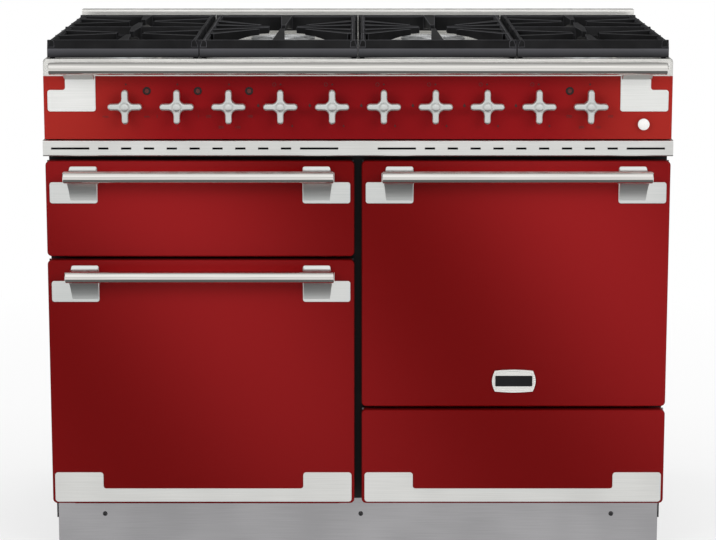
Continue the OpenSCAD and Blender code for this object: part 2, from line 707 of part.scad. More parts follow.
pan_in = 22;
module door_inner(x, z0, h) color(black) {
    hinge_z = z0 + hinge_up;
    low = hinge_z + arm_half + 3;
    difference() {
        union() {
            box(x - door_w / 2 + 1, x + door_w / 2 - 1, skin_back_y, skin_back_y + skin_wall, low, z0 + h - 1);
            box(x - door_w / 2 + pan_in, x + door_w / 2 - pan_in, skin_back_y, door_back_y, low, z0 + h - 10);
        }
        box(x - door_w / 2 + pan_in + sheet, x + door_w / 2 - pan_in - sheet, skin_back_y - 1, door_back_y - sheet,
            low + sheet, z0 + h - 10 - sheet);
    }
    for (s = [-1, 1]) {
        ear_x = x + s * (door_w / 2 - ear_in);
        difference() {
            union() {
                rod_x(ear_x - arm_t / 2, ear_x + arm_t / 2, hinge_y, hinge_z, 16);
                box(ear_x - arm_t / 2, ear_x + arm_t / 2, hinge_y - 5, skin_back_y, hinge_z, low + 20);
            }
            rod_x(ear_x - arm_t, ear_x + arm_t, hinge_y, hinge_z, hinge_pin_d + 2 * turn_clear);
        }
    }
}

module hinge_arms(x, z0) for (s = [-1, 1]) {
    hinge_z = z0 + hinge_up;
    ear_x = x + s * (door_w / 2 - ear_in);
    arm_x = ear_x + s * (arm_t + ear_gap);
    rod_x(arm_x - arm_t / 2, arm_x + arm_t / 2, hinge_y, hinge_z, 2 * arm_end_r);
    box(arm_x - arm_t / 2, arm_x + arm_t / 2, hinge_y, frame_y, hinge_z - arm_half, hinge_z + arm_half);
    rod_x(min(arm_x, ear_x - s * (arm_t / 2 + 2)), max(arm_x, ear_x - s * (arm_t / 2 + 2)), hinge_y, hinge_z, hinge_pin_d);
}
module door_hinges() color(zinc) {
    hinge_arms(-bank_x, grill_z);
    hinge_arms(-bank_x, door_low_z);
    hinge_arms(bank_x, right_z);
}

seal_w = 7;
module seal(x, z0, z1) difference() {
    box(x - cavity_w / 2 - seal_w - 3, x + cavity_w / 2 + seal_w + 3, frame_y - seal_t, frame_y,
        z0 - seal_w - 1, z1 + seal_w + 1);
    box(x - cavity_w / 2 - 3, x + cavity_w / 2 + 3, frame_y - seal_t - 1, frame_y + 1, z0 - 1, z1 + 1);
}
module door_seals() color("#3c3c3c") {
    seal(-bank_x, left_floor, left_roof);
    seal(bank_x, right_floor, right_roof);
    difference() {
        box(-bank_x - cavity_w / 2 - 10, -bank_x + cavity_w / 2 + 10, frame_y - seal_t, frame_y,
            grill_roof + 1, grill_roof + 7);
        box(-bank_x - 20, -bank_x + 20, frame_y - seal_t - 1, frame_y + 1, grill_roof + 5, grill_roof + 8);
    }
}

module grill_door_panel() door_panel(-bank_x, grill_z, grill_door_h, true);
module grill_door_inner() door_inner(-bank_x, grill_z, grill_door_h);
module grill_door_handle() door_handle(left_x0, doors_top);
module left_door_panel() door_panel(-bank_x, door_low_z, left_h, true);
module left_door_inner() door_inner(-bank_x, door_low_z, left_h);
module left_door_handle() door_handle(left_x0, left_top);
module right_door_panel() door_panel(bank_x, right_z, right_h, true);
module right_door_inner() door_inner(bank_x, right_z, right_h);
module right_door_handle() door_handle(right_x0, doors_top);

// U-shaped trim along the bottom of a front: a strip with an ear at each end
trim_in = 5;
trim_up = 3.5;
ear_w = 87;
ear_h = 55;
strip_h = 25;
module corner_trim(x) color(steel) {
    z = door_low_z + trim_up;
    w = door_w - 2 * trim_in;
    y = front_y - plate_t;
    upright_plate(x, y, z + strip_h / 2, w, strip_h, plate_t, 4);
    for (s = [-1, 1]) upright_plate(x + s * (w / 2 - ear_w / 2), y, z + ear_h / 2, ear_w, ear_h, plate_t, 4);
}
module left_door_trim() corner_trim(-bank_x);
module drawer_trim() corner_trim(bank_x);

// A bare oval-sided plate on the right door, with a raised rim
badge_w = 78;
badge_h = 38;
badge_up = 47;
module badge_outline(inset) {
    w = badge_w / 2 - inset;
    h = badge_h / 2 - inset;
    polygon(concat(
        [for (i = [0:8]) [w - 5 + 5 * sin(180 * i / 8), -h + 2 * h * i / 8]],
        [for (i = [1:7]) [w - 5 - (2 * w - 10) * i / 8, h + 2 * sin(180 * i / 8)]],
        [for (i = [0:8]) [-w + 5 - 5 * sin(180 * i / 8), h - 2 * h * i / 8]],
        [for (i = [1:7]) [-w + 5 + (2 * w - 10) * i / 8, -h - 2 * sin(180 * i / 8)]]));
}
module badge_plate() color(steel) translate([bank_x, front_y, right_z + badge_up]) rotate([90, 0, 0]) difference() {
    linear_extrude(3) badge_outline(0);
    translate([0, 0, 1.8]) linear_extrude(2) badge_outline(3.5);
}

// Storage drawer: front panel, its backing plate, and the floor, walls and rails of the box behind it
module drawer_front() door_panel(bank_x, door_low_z, drawer_h, false);

box_top_z = door_low_z + 130;
module drawer_box() color(zinc) {
    box(bank_x - door_w / 2 + 1, bank_x + door_w / 2 - 1, skin_back_y, skin_back_y + sheet,
        door_low_z + 1, door_low_z + drawer_h - 1);
    tray_y0 = skin_back_y + sheet + seam;
    floor_top = door_low_z + 8 + sheet;
    box(drawer_wall_x0, drawer_wall_x1, tray_y0, drawer_y1, door_low_z + 8, floor_top);
    box(drawer_wall_x0 + sheet + seam, drawer_wall_x1 - sheet - seam, drawer_y1 - sheet, drawer_y1,
        floor_top + seam, box_top_z);
    for (s = [-1, 1]) {
        wall = s < 0 ? drawer_wall_x0 : drawer_wall_x1;
        box(min(wall, wall - s * sheet), max(wall, wall - s * sheet), tray_y0, drawer_y1, floor_top + seam, box_top_z);
        box(min(wall + s * seam, wall + s * 14), max(wall + s * seam, wall + s * 14), runner_y0 + 2, drawer_y1,
            drawer_rail_z - 2 + slide_clear, drawer_rail_z + drawer_rail_h + 2 - slide_clear);
    }
}

// Burners: toothed crowns on the tray, enamelled caps over them, and an ignition electrode beside each
side_sec_w = 264;
burner_front = 0.27;
burner_rear = 0.73;
support_y0 = hob_front_y + rim_w + 1;
support_depth = rear_y - upstand_depth - support_gap - support_y0;
sec_gap = 1.6;
mid_sec_w = (cooker_w - 2 * rim_w - 4) / 2 - side_sec_w - sec_gap * 1.5;
side_x = mid_sec_w + side_sec_w / 2 + sec_gap * 1.5;
mid_x = mid_sec_w / 2 + sec_gap / 2;
burner_places = [
    for (x = [-side_x, side_x], f = [burner_front, burner_rear]) [x, support_y0 + support_depth * f, burner_r],
    for (x = [-mid_x, mid_x]) [x, support_y0 + support_depth / 2, wok_r]
];
head_h = 16;

module crown(r, r_in, teeth) difference() {
    rotate_extrude() polygon([[r_in, 0], [r - 2, 0], [r - 2, head_h - 8], [r, head_h - 7], [r, head_h],
        [r_in, head_h]]);
    for (i = [0:teeth - 1]) rotate([0, 0, 360 * i / teeth]) translate([r - 6, -0.9, head_h - 5]) cube([8, 1.8, 6]);
}

module burner_heads() color("#a8abad") for (b = burner_places) translate([b[0], b[1], tray_z]) {
    rotate_extrude() polygon([[0, 0], [b[2] + 9, 0], [b[2] + 7, 2], [b[2] - 2, 2.5], [0, 2.5]]);
    translate([0, 0, 2.5]) crown(b[2], b[2] - 14, b[2] > burner_r ? 36 : 24);
    if (b[2] > burner_r) translate([0, 0, 2.5]) crown(22, 8, 16);
}

module cap(r, r_in) rotate_extrude() polygon(concat(
    [[r_in, 0], [r - 1, 0]], [for (a = [-60:30:90]) [r - 2.5 + 2.5 * cos(a), 2.8 + 2.5 * sin(a)]], [[r_in, 5.8]]));

module burner_caps() color(iron) for (b = burner_places) translate([b[0], b[1], tray_z + 2.5 + head_h]) {
    if (b[2] > burner_r) {
        cap(b[2] + 1, b[2] - 15);
        cap(22, 0);
    } else cap(b[2] + 1, 0);
}

module igniters() color("#e8e6df") for (b = burner_places) translate([b[0] + b[2] + 14, b[1], tray_z]) {
    cylinder(h = 12, d = 7);
    translate([0, 0, 12]) cylinder(h = 5, d = 2.4);
}

// Cast iron pan supports: a sloping rail all round with tapered fingers towards each burner
rail_base = 13;
rail_top = 8;
foot_gap = 12;
rail_low_z = tray_z + foot_gap;
finger_drop = support_z - rail_low_z - 2;

// A finger from the origin along +X, wide and deep at its root and slim at its tip
module finger(len, w0, w1, d0, d1) intersection() {
    translate([0, 0, -d0]) linear_extrude(d0) polygon([[0, -w0 / 2], [len, -w1 / 2], [len, w1 / 2], [0, w0 / 2]]);
    translate([0, w0, 0]) rotate([90, 0, 0]) linear_extrude(2 * w0)
        polygon([[0, 0], [len, 0], [len, -d1], [len * 0.75, -d1 - 1],
            [len * 0.45, -d1 - (d0 - d1) * 0.35], [0, -d0]]);
}

// A finger from one point of the plan towards another, stopping short of it
module finger_to(from, to, short, w0 = 18) {
    d = to - from;
    translate([from[0], from[1], support_z]) rotate([0, 0, atan2(d[1], d[0])])
        finger(norm(d) - short, w0, 8, finger_drop, 11);
}

module support_rail(len) translate([-len / 2, 0, 0]) rotate([90, 0, 90]) linear_extrude(len)
    polygon([[0, rail_low_z], [rail_base, rail_low_z], [rail_base - 1, support_z - 3], [rail_base - 4, support_z],
             [5, support_z], [0, support_z - 15]]);

module support_frame(x, w) {
    d = support_depth;
    translate([x, support_y0, 0]) support_rail(w);
    translate([x, support_y0 + d, 0]) rotate([0, 0, 180]) support_rail(w);
    translate([x - w / 2, support_y0 + d / 2, 0]) rotate([0, 0, -90]) support_rail(d - 2);
    translate([x + w / 2, support_y0 + d / 2, 0]) rotate([0, 0, 90]) support_rail(d - 2);
    for (sx = [-1, 1], f = [0.04, 0.5, 0.96])
        rod_z(x + sx * (w / 2 - rail_base / 2), support_y0 + d * f, tray_z, rail_low_z + 1, 9);
}

// Support over two burners, one behind the other, with a bar across between them
module side_support(x) color(iron) {
    w = side_sec_w;
    support_frame(x, w);
    translate([x, support_y0 + support_depth / 2 - rail_base / 2, 0]) support_rail(w - 2);
    rails = [support_y0 + 6, support_y0 + support_depth / 2, support_y0 + support_depth - 6];
    for (f = [0, 1]) {
        c = [x, support_y0 + support_depth * [burner_front, burner_rear][f]];
        for (sx = [-1, 1], dy = [-52, 52]) finger_to([x + sx * (w / 2 - 6), c[1] + dy], c, 26);
        for (y = [rails[f], rails[f + 1]]) finger_to([x, y], c, 30);
    }
}

// Support over one large burner
module mid_support(x) color(iron) {
    w = mid_sec_w;
    c = [x, support_y0 + support_depth / 2];
    support_frame(x, w);
    for (sx = [-1, 1], dy = [-125, -45, 45, 125])
        finger_to([x + sx * (w / 2 - 10), c[1] + dy], c, abs(dy) > 100 ? 62 : 28, 22);
    for (sy = [-1, 1]) finger_to([x, c[1] + sy * (support_depth / 2 - 6)], c, 34, 22);
}

module pan_support_1() side_support(-side_x);
module pan_support_2() mid_support(-mid_x);
module pan_support_3() mid_support(mid_x);
module pan_support_4() side_support(side_x);

// Knobs: a cross of four rounded arms round a raised boss, on a stem that turns on the spindle
knob_clear = 0.4;
arm_depth = 13;
boss_r = 10.5;
arm_fillet = 7;

// Outline of the cross: a half circle round each arm's end and a concave fillet between two arms
function cross_outline(tip, r, fillet, n = 8) = [
    for (q = [0:3]) for (p = concat(
        [for (i = [0:n]) let (a = -90 + 180 * i / n) [tip + r * cos(a), r * sin(a)]],
        [for (i = [0:n]) let (a = 270 - 90 * i / n) [r + fillet + fillet * cos(a), r + fillet + fillet * sin(a)]]))
    [p[0] * cos(90 * q) - p[1] * sin(90 * q), p[0] * sin(90 * q) + p[1] * cos(90 * q)]
];

module knob(i) color(steel) translate([knob_x(i), front_y - knob_clear, knob_z]) rotate([90, 0, 0]) difference() {
    reach = knob_reach - knob_clear;
    tip = knob_span / 2 - knob_arm_w / 2;
    union() {
        cylinder(h = reach - arm_depth - 3, d1 = 26, d2 = 20);
        translate([0, 0, reach - arm_depth - 4]) {
            linear_extrude(arm_depth) polygon(cross_outline(tip, knob_arm_w / 2, arm_fillet));
            cylinder(h = arm_depth + 1.5, r = boss_r);
            translate([0, 0, arm_depth + 1.5]) cylinder(h = 2.5, r1 = boss_r, r2 = boss_r - 3.5);
        }
    }
    translate([0, 0, -1]) cylinder(h = knob_reach - 8 + 1, d = spindle_d + 2 * turn_clear);
}
module knob_1() knob(1);
module knob_2() knob(2);
module knob_3() knob(3);
module knob_4() knob(4);
module knob_5() knob(5);
module knob_6() knob(6);
module knob_7() knob(7);
module knob_8() knob(8);
module knob_9() knob(9);
module knob_10() knob(10);

button_travel = 3;
module light_button() color("#f2f2ee") translate([button_x, front_y, button_z]) rotate([90, 0, 0]) {
    translate([0, 0, button_travel + 0.5]) cylinder(h = 2.5, d = button_d);
    intersection() {
        translate([0, 0, button_travel + 3 + 5 - button_d * 0.83]) sphere(r = button_d * 0.83);
        translate([0, 0, button_travel + 3]) cylinder(h = 10, d = button_d);
    }
    translate([0, 0, -sheet - 14]) cylinder(h = sheet + 14 + button_travel + 1, d = button_d / 2);
    translate([0, 0, -sheet - 14]) cylinder(h = 2, d = button_d * 0.7);
}

base_tray();
levelling_feet();
plinth();
side_panel_left();
side_panel_right();
rear_panel();
gas_manifold();
face_frame();
grill_liner();
left_oven_liner();
right_oven_liner();
grill_element();
fan_motors();
fan_guards();
shelf_ladders();
drawer_runners();
control_fascia();
vent_trim();
hob_top();
hob_rail();
burner_heads();
burner_caps();
igniters();
indicator_lenses();
door_hinges();
door_seals();
pan_support_1();
pan_support_2();
pan_support_3();
pan_support_4();
knob_1();
knob_2();
knob_3();
knob_4();
knob_5();
knob_6();
knob_7();
knob_8();
knob_9();
knob_10();
light_button();
grill_door_panel();
grill_door_inner();
grill_door_handle();
left_door_panel();
left_door_inner();
left_door_handle();
left_door_trim();
right_door_panel();
right_door_inner();
right_door_handle();
badge_plate();
drawer_front();
drawer_box();
drawer_trim();
left_oven_shelves();
right_oven_shelves();
grill_pan();
left_fan();
right_fan();
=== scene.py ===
import math
from types import SimpleNamespace

import bmesh
import bpy
from mathutils import Matrix, Vector


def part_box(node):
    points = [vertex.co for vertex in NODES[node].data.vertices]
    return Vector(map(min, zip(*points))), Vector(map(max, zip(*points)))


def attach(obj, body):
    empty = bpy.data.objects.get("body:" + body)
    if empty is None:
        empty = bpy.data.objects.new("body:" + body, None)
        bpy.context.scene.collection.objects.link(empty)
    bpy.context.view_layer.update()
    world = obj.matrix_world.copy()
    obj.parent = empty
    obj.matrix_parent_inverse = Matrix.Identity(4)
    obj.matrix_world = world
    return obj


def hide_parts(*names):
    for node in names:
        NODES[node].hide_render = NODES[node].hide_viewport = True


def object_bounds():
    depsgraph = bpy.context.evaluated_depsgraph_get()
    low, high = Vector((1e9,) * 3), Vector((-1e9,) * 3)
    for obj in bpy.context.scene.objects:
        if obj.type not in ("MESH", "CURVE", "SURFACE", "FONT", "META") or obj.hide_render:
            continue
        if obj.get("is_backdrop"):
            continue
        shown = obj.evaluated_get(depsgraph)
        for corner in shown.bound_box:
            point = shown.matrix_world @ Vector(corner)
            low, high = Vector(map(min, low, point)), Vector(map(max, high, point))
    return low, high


# The looks of a 110 cm range cooker: red enamel doors, steel rails and cast iron pan supports.
# Everything is in metres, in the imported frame: front towards -Y, floor at z = 0.

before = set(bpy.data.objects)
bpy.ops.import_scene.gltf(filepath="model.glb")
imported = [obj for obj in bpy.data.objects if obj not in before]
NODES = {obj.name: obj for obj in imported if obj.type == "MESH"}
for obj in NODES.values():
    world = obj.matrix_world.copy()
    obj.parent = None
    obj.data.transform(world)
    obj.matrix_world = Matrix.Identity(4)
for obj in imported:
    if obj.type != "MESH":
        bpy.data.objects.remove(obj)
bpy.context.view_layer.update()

MM = 0.001


# Making materials

def srgb(text):
    """A hex colour as the linear RGBA that shader sockets take."""
    parts = [int(text[i:i + 2], 16) / 255 for i in (1, 3, 5)]
    linear = [c / 12.92 if c <= 0.04045 else ((c + 0.055) / 1.055) ** 2.4 for c in parts]
    return (*linear, 1.0)


def add_node(tree, kind, values=None, links=None, **settings):
    """Add one shader node with its settings, its fixed values and what feeds its inputs."""
    node = tree.nodes.new("ShaderNode" + kind)
    for name, value in settings.items():
        setattr(node, name, value)
    for socket, value in (values or {}).items():
        node.inputs[socket].default_value = value
    for socket, source in (links or {}).items():
        tree.links.new(source, node.inputs[socket])
    return node


def new_material(name, **values):
    """A material with one Principled shader. Returns it, its tree, the shader and the object coordinates."""
    material = bpy.data.materials.new(name)
    material.use_nodes = True
    tree = material.node_tree
    shader = tree.nodes["Principled BSDF"]
    for socket, value in values.items():
        shader.inputs[socket.replace("_", " ")].default_value = value
    where = add_node(tree, "TexCoord").outputs["Object"]
    return material, tree, shader, where


def set_stops(ramp, *stops):
    """Give a colour ramp its stops, each a position with a hex colour or a grey level. Returns its colour."""
    for k, (position, tone) in enumerate(stops):
        stop = ramp.color_ramp.elements[k] if k < 2 else ramp.color_ramp.elements.new(position)
        stop.position = position
        stop.color = srgb(tone) if isinstance(tone, str) else (tone, tone, tone, 1)
    return ramp.outputs["Color"]


def dress(tree, shader, pattern, stops=(), rough=(), relief=0.0, strength=1.0):
    """Let a pattern from 0 to 1 set a surface's colour, its roughness and its relief in mm."""
    if stops:
        ramp = add_node(tree, "ValToRGB", None, {"Fac": pattern})
        tree.links.new(set_stops(ramp, *stops), shader.inputs["Base Color"])
    if rough:
        level = add_node(tree, "MapRange", {"To Min": rough[0], "To Max": rough[1]}, {"Value": pattern})
        tree.links.new(level.outputs["Result"], shader.inputs["Roughness"])
    if relief:
        raised = add_node(tree, "Bump", {"Strength": strength, "Distance": relief * MM}, {"Height": pattern})
        tree.links.new(raised.outputs["Normal"], shader.inputs["Normal"])


def ripple(tree, shader, where, lump, relief, strength=1.0):
    """Let a sheet swell in soft lumps, lump mm across and up to relief mm high."""
    swell = add_node(tree, "TexNoise", {"Scale": 1 / (lump * MM), "Detail": 2.0}, {"Vector": where})
    dress(tree, shader, swell.outputs["Fac"], relief=relief, strength=strength)


def grained(name, lump, dark, light, rough=(), relief=0.0, strength=1.0, detail=2.0, coarse=0.5, **values):
    """A finish with one grain, lump mm across, that sets its colour, roughness and relief."""
    material, tree, shader, where = new_material(name, **values)
    grain = add_node(tree, "TexNoise", {"Scale": 1 / (lump * MM), "Detail": detail, "Roughness": coarse},
                     {"Vector": where}).outputs["Fac"]
    dress(tree, shader, grain, ((0.35, dark), (0.65, light)), rough, relief, strength)
    return material


# Materials

# The slant and spacing of the red enamel's bands of painted light and shade, standing in for soft studio
# light on the doors.
LIGHT_BAND_SLANT = math.radians(31)
LIGHT_BAND_SCALE = 0.4945  # puts the red enamel's bands 0.74 m apart along the front


def red_enamel(name, dark, light, ends=None):
    """Vitreous enamel fired on steel: deep glossy red with a faint orange-peel ripple.
    Painted light and shade run over its tone in slow slanting bands, with painted shade towards the floor.
    ends is a painted reflection: the lighter tone at the far left and right."""
    material, tree, shader, where = new_material(
        name, Roughness=0.16, IOR=1.5, Specular_IOR_Level=0.04, Coat_Weight=0.02, Coat_Roughness=0.04)
    axes = add_node(tree, "SeparateXYZ", None, {"Vector": where}).outputs
    # Painted light and shade: broad slanting bands over the enamel's tone.
    slanted = add_node(tree, "Mapping", {"Rotation": (0, LIGHT_BAND_SLANT, 0)}, {"Vector": where}).outputs["Vector"]
    bands = add_node(tree, "TexWave", {"Scale": LIGHT_BAND_SCALE, "Distortion": 0.25, "Detail": 1.0,
                                       "Detail Scale": 2.0, "Phase Offset": 2.8},
                     {"Vector": slanted}, bands_direction="X")
    # Painted shade: the bands' light fades towards the floor.
    floor_shade = add_node(tree, "MapRange", {"From Min": 0.1, "From Max": 0.62, "To Min": 0.45, "To Max": 1.0},
                      {"Value": axes["Z"]}).outputs["Result"]
    share = add_node(tree, "Math", None, {0: bands.outputs["Fac"], 1: floor_shade}, operation="MULTIPLY")
    tone = set_stops(add_node(tree, "ValToRGB", None, {"Fac": share.outputs[0]}), (0.0, dark), (1.0, light))
    # Painted reflection: a lighter, more orange tone at the far left and right.
    if ends:
        out = add_node(tree, "Math", None, {0: axes["X"]}, operation="ABSOLUTE").outputs[0]
        edge = add_node(tree, "MapRange", {"From Min": 0.3, "From Max": 0.54}, {"Value": out},
                        interpolation_type="SMOOTHSTEP").outputs["Result"]
        mix = add_node(tree, "Mix", {7: srgb(ends)}, {"Factor": edge, 6: tone}, data_type="RGBA")
        tone = mix.outputs[2]
    tree.links.new(tone, shader.inputs["Base Color"])
    ripple(tree, shader, where, 6, 0.02)
    return material


def brushed_steel(name, dark, light, rough=0.3, strength=0.3, metallic=1.0):
    """Stainless steel sheet, brushed along X. Brush lines 0.2 mm apart are drawn 0.9 mm apart to show.
    A satin or bead-blasted sheet also scatters light, which metallic below 1 stands for."""
    material, tree, shader, where = new_material(name, Metallic=metallic)
    run, across = 1 / (90 * MM), 1 / (0.9 * MM)
    stretched = add_node(tree, "Mapping", {"Scale": (run, across, across)}, {"Vector": where})
    lines = add_node(tree, "TexNoise", {"Scale": 1.0, "Detail": 3.0},
                     {"Vector": stretched.outputs["Vector"]}).outputs["Fac"]
    clouds = add_node(tree, "TexNoise", {"Scale": 1 / (120 * MM), "Detail": 1.0}, {"Vector": where})
    both = add_node(tree, "Math", None, {0: lines, 1: clouds.outputs["Fac"]}, operation="ADD")
    mean = add_node(tree, "Math", {1: 0.5}, {0: both.outputs[0]}, operation="MULTIPLY")
    dress(tree, shader, mean.outputs[0], ((0.38, dark), (0.62, light)))
    dress(tree, shader, lines, rough=(rough - 0.05, rough + 0.07), relief=0.01, strength=strength)
    return material


def polished_steel():
    """Stainless tube, ground and polished: sharp bright and dark bands along its length."""
    material, tree, shader, where = new_material("polished_stainless_tube", Metallic=1.0)
    run, across = 1 / (120 * MM), 1 / (1.2 * MM)
    stretched = add_node(tree, "Mapping", {"Scale": (run, across, across)}, {"Vector": where})
    lines = add_node(tree, "TexNoise", {"Scale": 1.0, "Detail": 2.0}, {"Vector": stretched.outputs["Vector"]})
    dress(tree, shader, lines.outputs["Fac"], ((0.35, "#d9d7d2"), (0.65, "#eceae6")), (0.06, 0.12))
    return material


def enamelled_iron():
    """Cast iron under matt black enamel: a pebbled skin, with a grey highlight painted along its rounded
    edges and up the rails' outer faces. The mesh's painted_highlight attribute says where that painted
    highlight lies."""
    material, tree, shader, where = new_material("enamelled_cast_iron", IOR=1.5, Specular_IOR_Level=0.12)
    pebbles = add_node(tree, "TexNoise", {"Scale": 1 / (1.6 * MM), "Detail": 4.0, "Roughness": 0.6},
                       {"Vector": where}).outputs["Fac"]
    cloud = add_node(tree, "TexNoise", {"Scale": 1 / (50 * MM), "Detail": 2.0}, {"Vector": where})
    skin = set_stops(add_node(tree, "ValToRGB", None, {"Fac": cloud.outputs["Fac"]}),
                     (0.35, "#101011"), (0.65, "#1b1b1c"))
    # Painted highlight: the skin turns grey where the painted_highlight attribute rises.
    painted_highlight = add_node(tree, "Attribute", attribute_name="painted_highlight").outputs["Fac"]
    tone = add_node(tree, "Mix", {7: srgb("#56565a")}, {"Factor": painted_highlight, 6: skin}, data_type="RGBA")
    tree.links.new(tone.outputs[2], shader.inputs["Base Color"])
    dress(tree, shader, pebbles, rough=(0.42, 0.6), relief=0.06, strength=0.5)
    return material


def black_enamel(name, dark, light, rough):
    """Stoved black enamel on sheet steel: cloudy over 150 mm and slightly rippled."""
    material, tree, shader, where = new_material(name, IOR=1.5, Specular_IOR_Level=0.2)
    cloud = add_node(tree, "TexNoise", {"Scale": 1 / (150 * MM), "Detail": 2.0}, {"Vector": where})
    dress(tree, shader, cloud.outputs["Fac"], ((0.35, dark), (0.65, light)), (rough - 0.04, rough + 0.06))
    ripple(tree, shader, where, 4, 0.04)
    return material


def speckled_enamel():
    """Oven cavity enamel: dark blue-grey ground coat with fired white specks. The real ones lie 1 to 2 mm
    apart and are drawn 4.5 mm apart to show."""
    material, tree, shader, where = new_material("speckled_cavity_enamel", IOR=1.5, Roughness=0.3)
    specks = add_node(tree, "TexVoronoi", {"Scale": 1 / (4.5 * MM)}, {"Vector": where}).outputs["Distance"]
    dress(tree, shader, specks, ((0.06, "#9aa3ad"), (0.16, "#22262c")))
    ripple(tree, shader, where, 5, 0.04)
    return material


def zinc_sheet():
    """Hot-dipped galvanised sheet: dull grey with spangles about 12 mm across."""
    material, tree, shader, where = new_material("galvanised_sheet", Metallic=0.9)
    spangles = add_node(tree, "TexVoronoi", {"Scale": 1 / (12 * MM)}, {"Vector": where}).outputs["Color"]
    level = add_node(tree, "SeparateColor", None, {"Color": spangles}).outputs["Red"]
    dress(tree, shader, level, ((0.1, "#878b8e"), (0.9, "#a9adaf")), (0.36, 0.52))
    ripple(tree, shader, where, 2, 0.03, 0.5)
    return material


def glass_fibre_seal():
    """Braided glass-fibre door seal, charcoal. The real 2 mm braid is drawn 4.5 mm apart to show."""
    material, tree, shader, where = new_material("braided_fibre_seal", Roughness=0.9)
    braid = add_node(tree, "TexWave", {"Scale": 80.0, "Distortion": 1.5, "Detail": 1.0}, {"Vector": where},
                     bands_direction="DIAGONAL").outputs["Fac"]
    dress(tree, shader, braid, ((0.35, "#2c2b29"), (0.65, "#5b5955")), relief=0.4)
    return material


def cast_metal(name, dark, light, rough):
    """Die-cast and turned metal with a sandy grain of about 1 mm that scatters much of the light."""
    return grained(name, 1.2, dark, light, (rough - 0.05, rough + 0.1), 0.08, 0.6, 4.0, 0.6, Metallic=0.6)


def moulded_plastic(name, dark, light, rough):
    """Moulded plastic with a fine spark-eroded texture, drawn 0.9 mm coarse."""
    return grained(name, 0.9, dark, light, (rough - 0.04, rough + 0.06), 0.03, 0.4, IOR=1.46)


# Both reds carry painted light and shade in slanting bands. The fascia's last colour is the painted
# reflection at its ends.
DOOR_RED = red_enamel("red_vitreous_enamel", "#6b0708", "#901a1c")
FASCIA_RED = red_enamel("red_vitreous_enamel_fascia", "#7d0d12", "#891216", "#9f2822")
TRIM_STEEL = brushed_steel("brushed_stainless_steel", "#e2e2df", "#f0f0ed", 0.36)
PLATE_STEEL = brushed_steel("brushed_stainless_plate", "#dcdfdd", "#ebecea", 0.36, 0.15)
HOB_STEEL = brushed_steel("satin_stainless_hob", "#dddcd8", "#ebeae6", 0.26, 0.08, 0.6)
# The hob rail's plates: the handle plates' stainless steel painted lighter, a painted highlight for the light
# from above on the rail's tabs.
LIT_RAIL_PLATE_STEEL = brushed_steel("satin_stainless_rail_plate", "#e8e9e6", "#f5f5f3", 0.3, 0.15, 0.6)
PLINTH_STEEL = brushed_steel("ground_stainless_plinth", "#abaaac", "#bcbbbd", 0.4)
BAR_STEEL = polished_steel()
IRON = enamelled_iron()
CARCASE_BLACK = black_enamel("black_stoved_enamel", "#0c0c0d", "#141416", 0.38)
CAP_BLACK = black_enamel("matt_black_cap_enamel", "#161617", "#222224", 0.5)
CAVITY = speckled_enamel()
ZINC = zinc_sheet()
SEAL = glass_fibre_seal()
BURNER_METAL = cast_metal("die_cast_aluminium", "#b4b6b7", "#dfe0e0", 0.3)
SCREW = cast_metal("blackened_steel_screw", "#3a3a3b", "#505052", 0.4)
FOOT = moulded_plastic("black_moulded_nylon", "#101011", "#191919", 0.55)
BUTTON = moulded_plastic("white_gloss_abs", "#eceae6", "#f6f5f2", 0.22)
LENS = moulded_plastic("smoked_neon_lens", "#4c1510", "#5c1d14", 0.2)
INK = moulded_plastic("fired_black_ink", "#2a0b0b", "#351010", 0.45)

# Die-cast zinc with a satin chrome finish: soft silver with a fine tumbled texture.
KNOB_ZINC = grained("satin_chromed_zinc", 1.1, "#d9dcda", "#e8eae8", (0.38, 0.48), 0.03, 0.5, 3.0,
                   Metallic=1.0)

# Nickel-plated wire: bright, with faint drawing marks and a warm tone.
WIRE = grained("nickel_plated_wire", 3, "#b9b7b1", "#d8d6d0", (0.16, 0.28), detail=3.0, Metallic=1.0)

# Turned brass pipework and taps, dulled a little in clouds 20 mm across.
BRASS = grained("turned_brass", 20, "#9c7a3c", "#c29b56", (0.25, 0.42), detail=3.0, Metallic=1.0)

# Igniter porcelain, glazed: warm white with faint heat staining.
CERAMIC = grained("igniter_porcelain", 8, "#cfc6b4", "#ece8df", detail=3.0, IOR=1.55, Roughness=0.32)

# Nickel alloy element sheath, oxidised by heat to a mottled grey-brown.
SHEATH = grained("oxidised_element_sheath", 15, "#3b322e", "#7a6b60", detail=4.0, coarse=0.65, Metallic=0.7,
                 Roughness=0.5)


# Making pieces

def show(piece, body, stands_for=()):
    """Hang a finished piece on its CAD body and hide the nodes it replaces."""
    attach(piece, body)
    if stands_for:
        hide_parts(*stands_for)


def finish_mesh(name, solid, material, sharp=38, wall=0.0, weighted=True):
    """Turn a bmesh to an object: outward faces, smooth shading and sharp edges past an angle. wall is the
    thickness that an open sheet gets inwards."""
    bmesh.ops.recalc_face_normals(solid, faces=solid.faces)
    for face in solid.faces:
        face.smooth = True
    for edge in solid.edges:
        if len(edge.link_faces) == 2 and edge.calc_face_angle(0) > math.radians(sharp):
            edge.smooth = False
    mesh = bpy.data.meshes.new(name)
    solid.to_mesh(mesh)
    solid.free()
    mesh.materials.append(material)
    piece = bpy.data.objects.new(name, mesh)
    bpy.context.scene.collection.objects.link(piece)
    if wall:
        sheet = piece.modifiers.new("sheet", "SOLIDIFY")
        sheet.thickness = wall
        sheet.offset = -1
    if weighted:
        shading = piece.modifiers.new("flat_face_shading", "WEIGHTED_NORMAL")
        shading.keep_sharp = True
    return piece


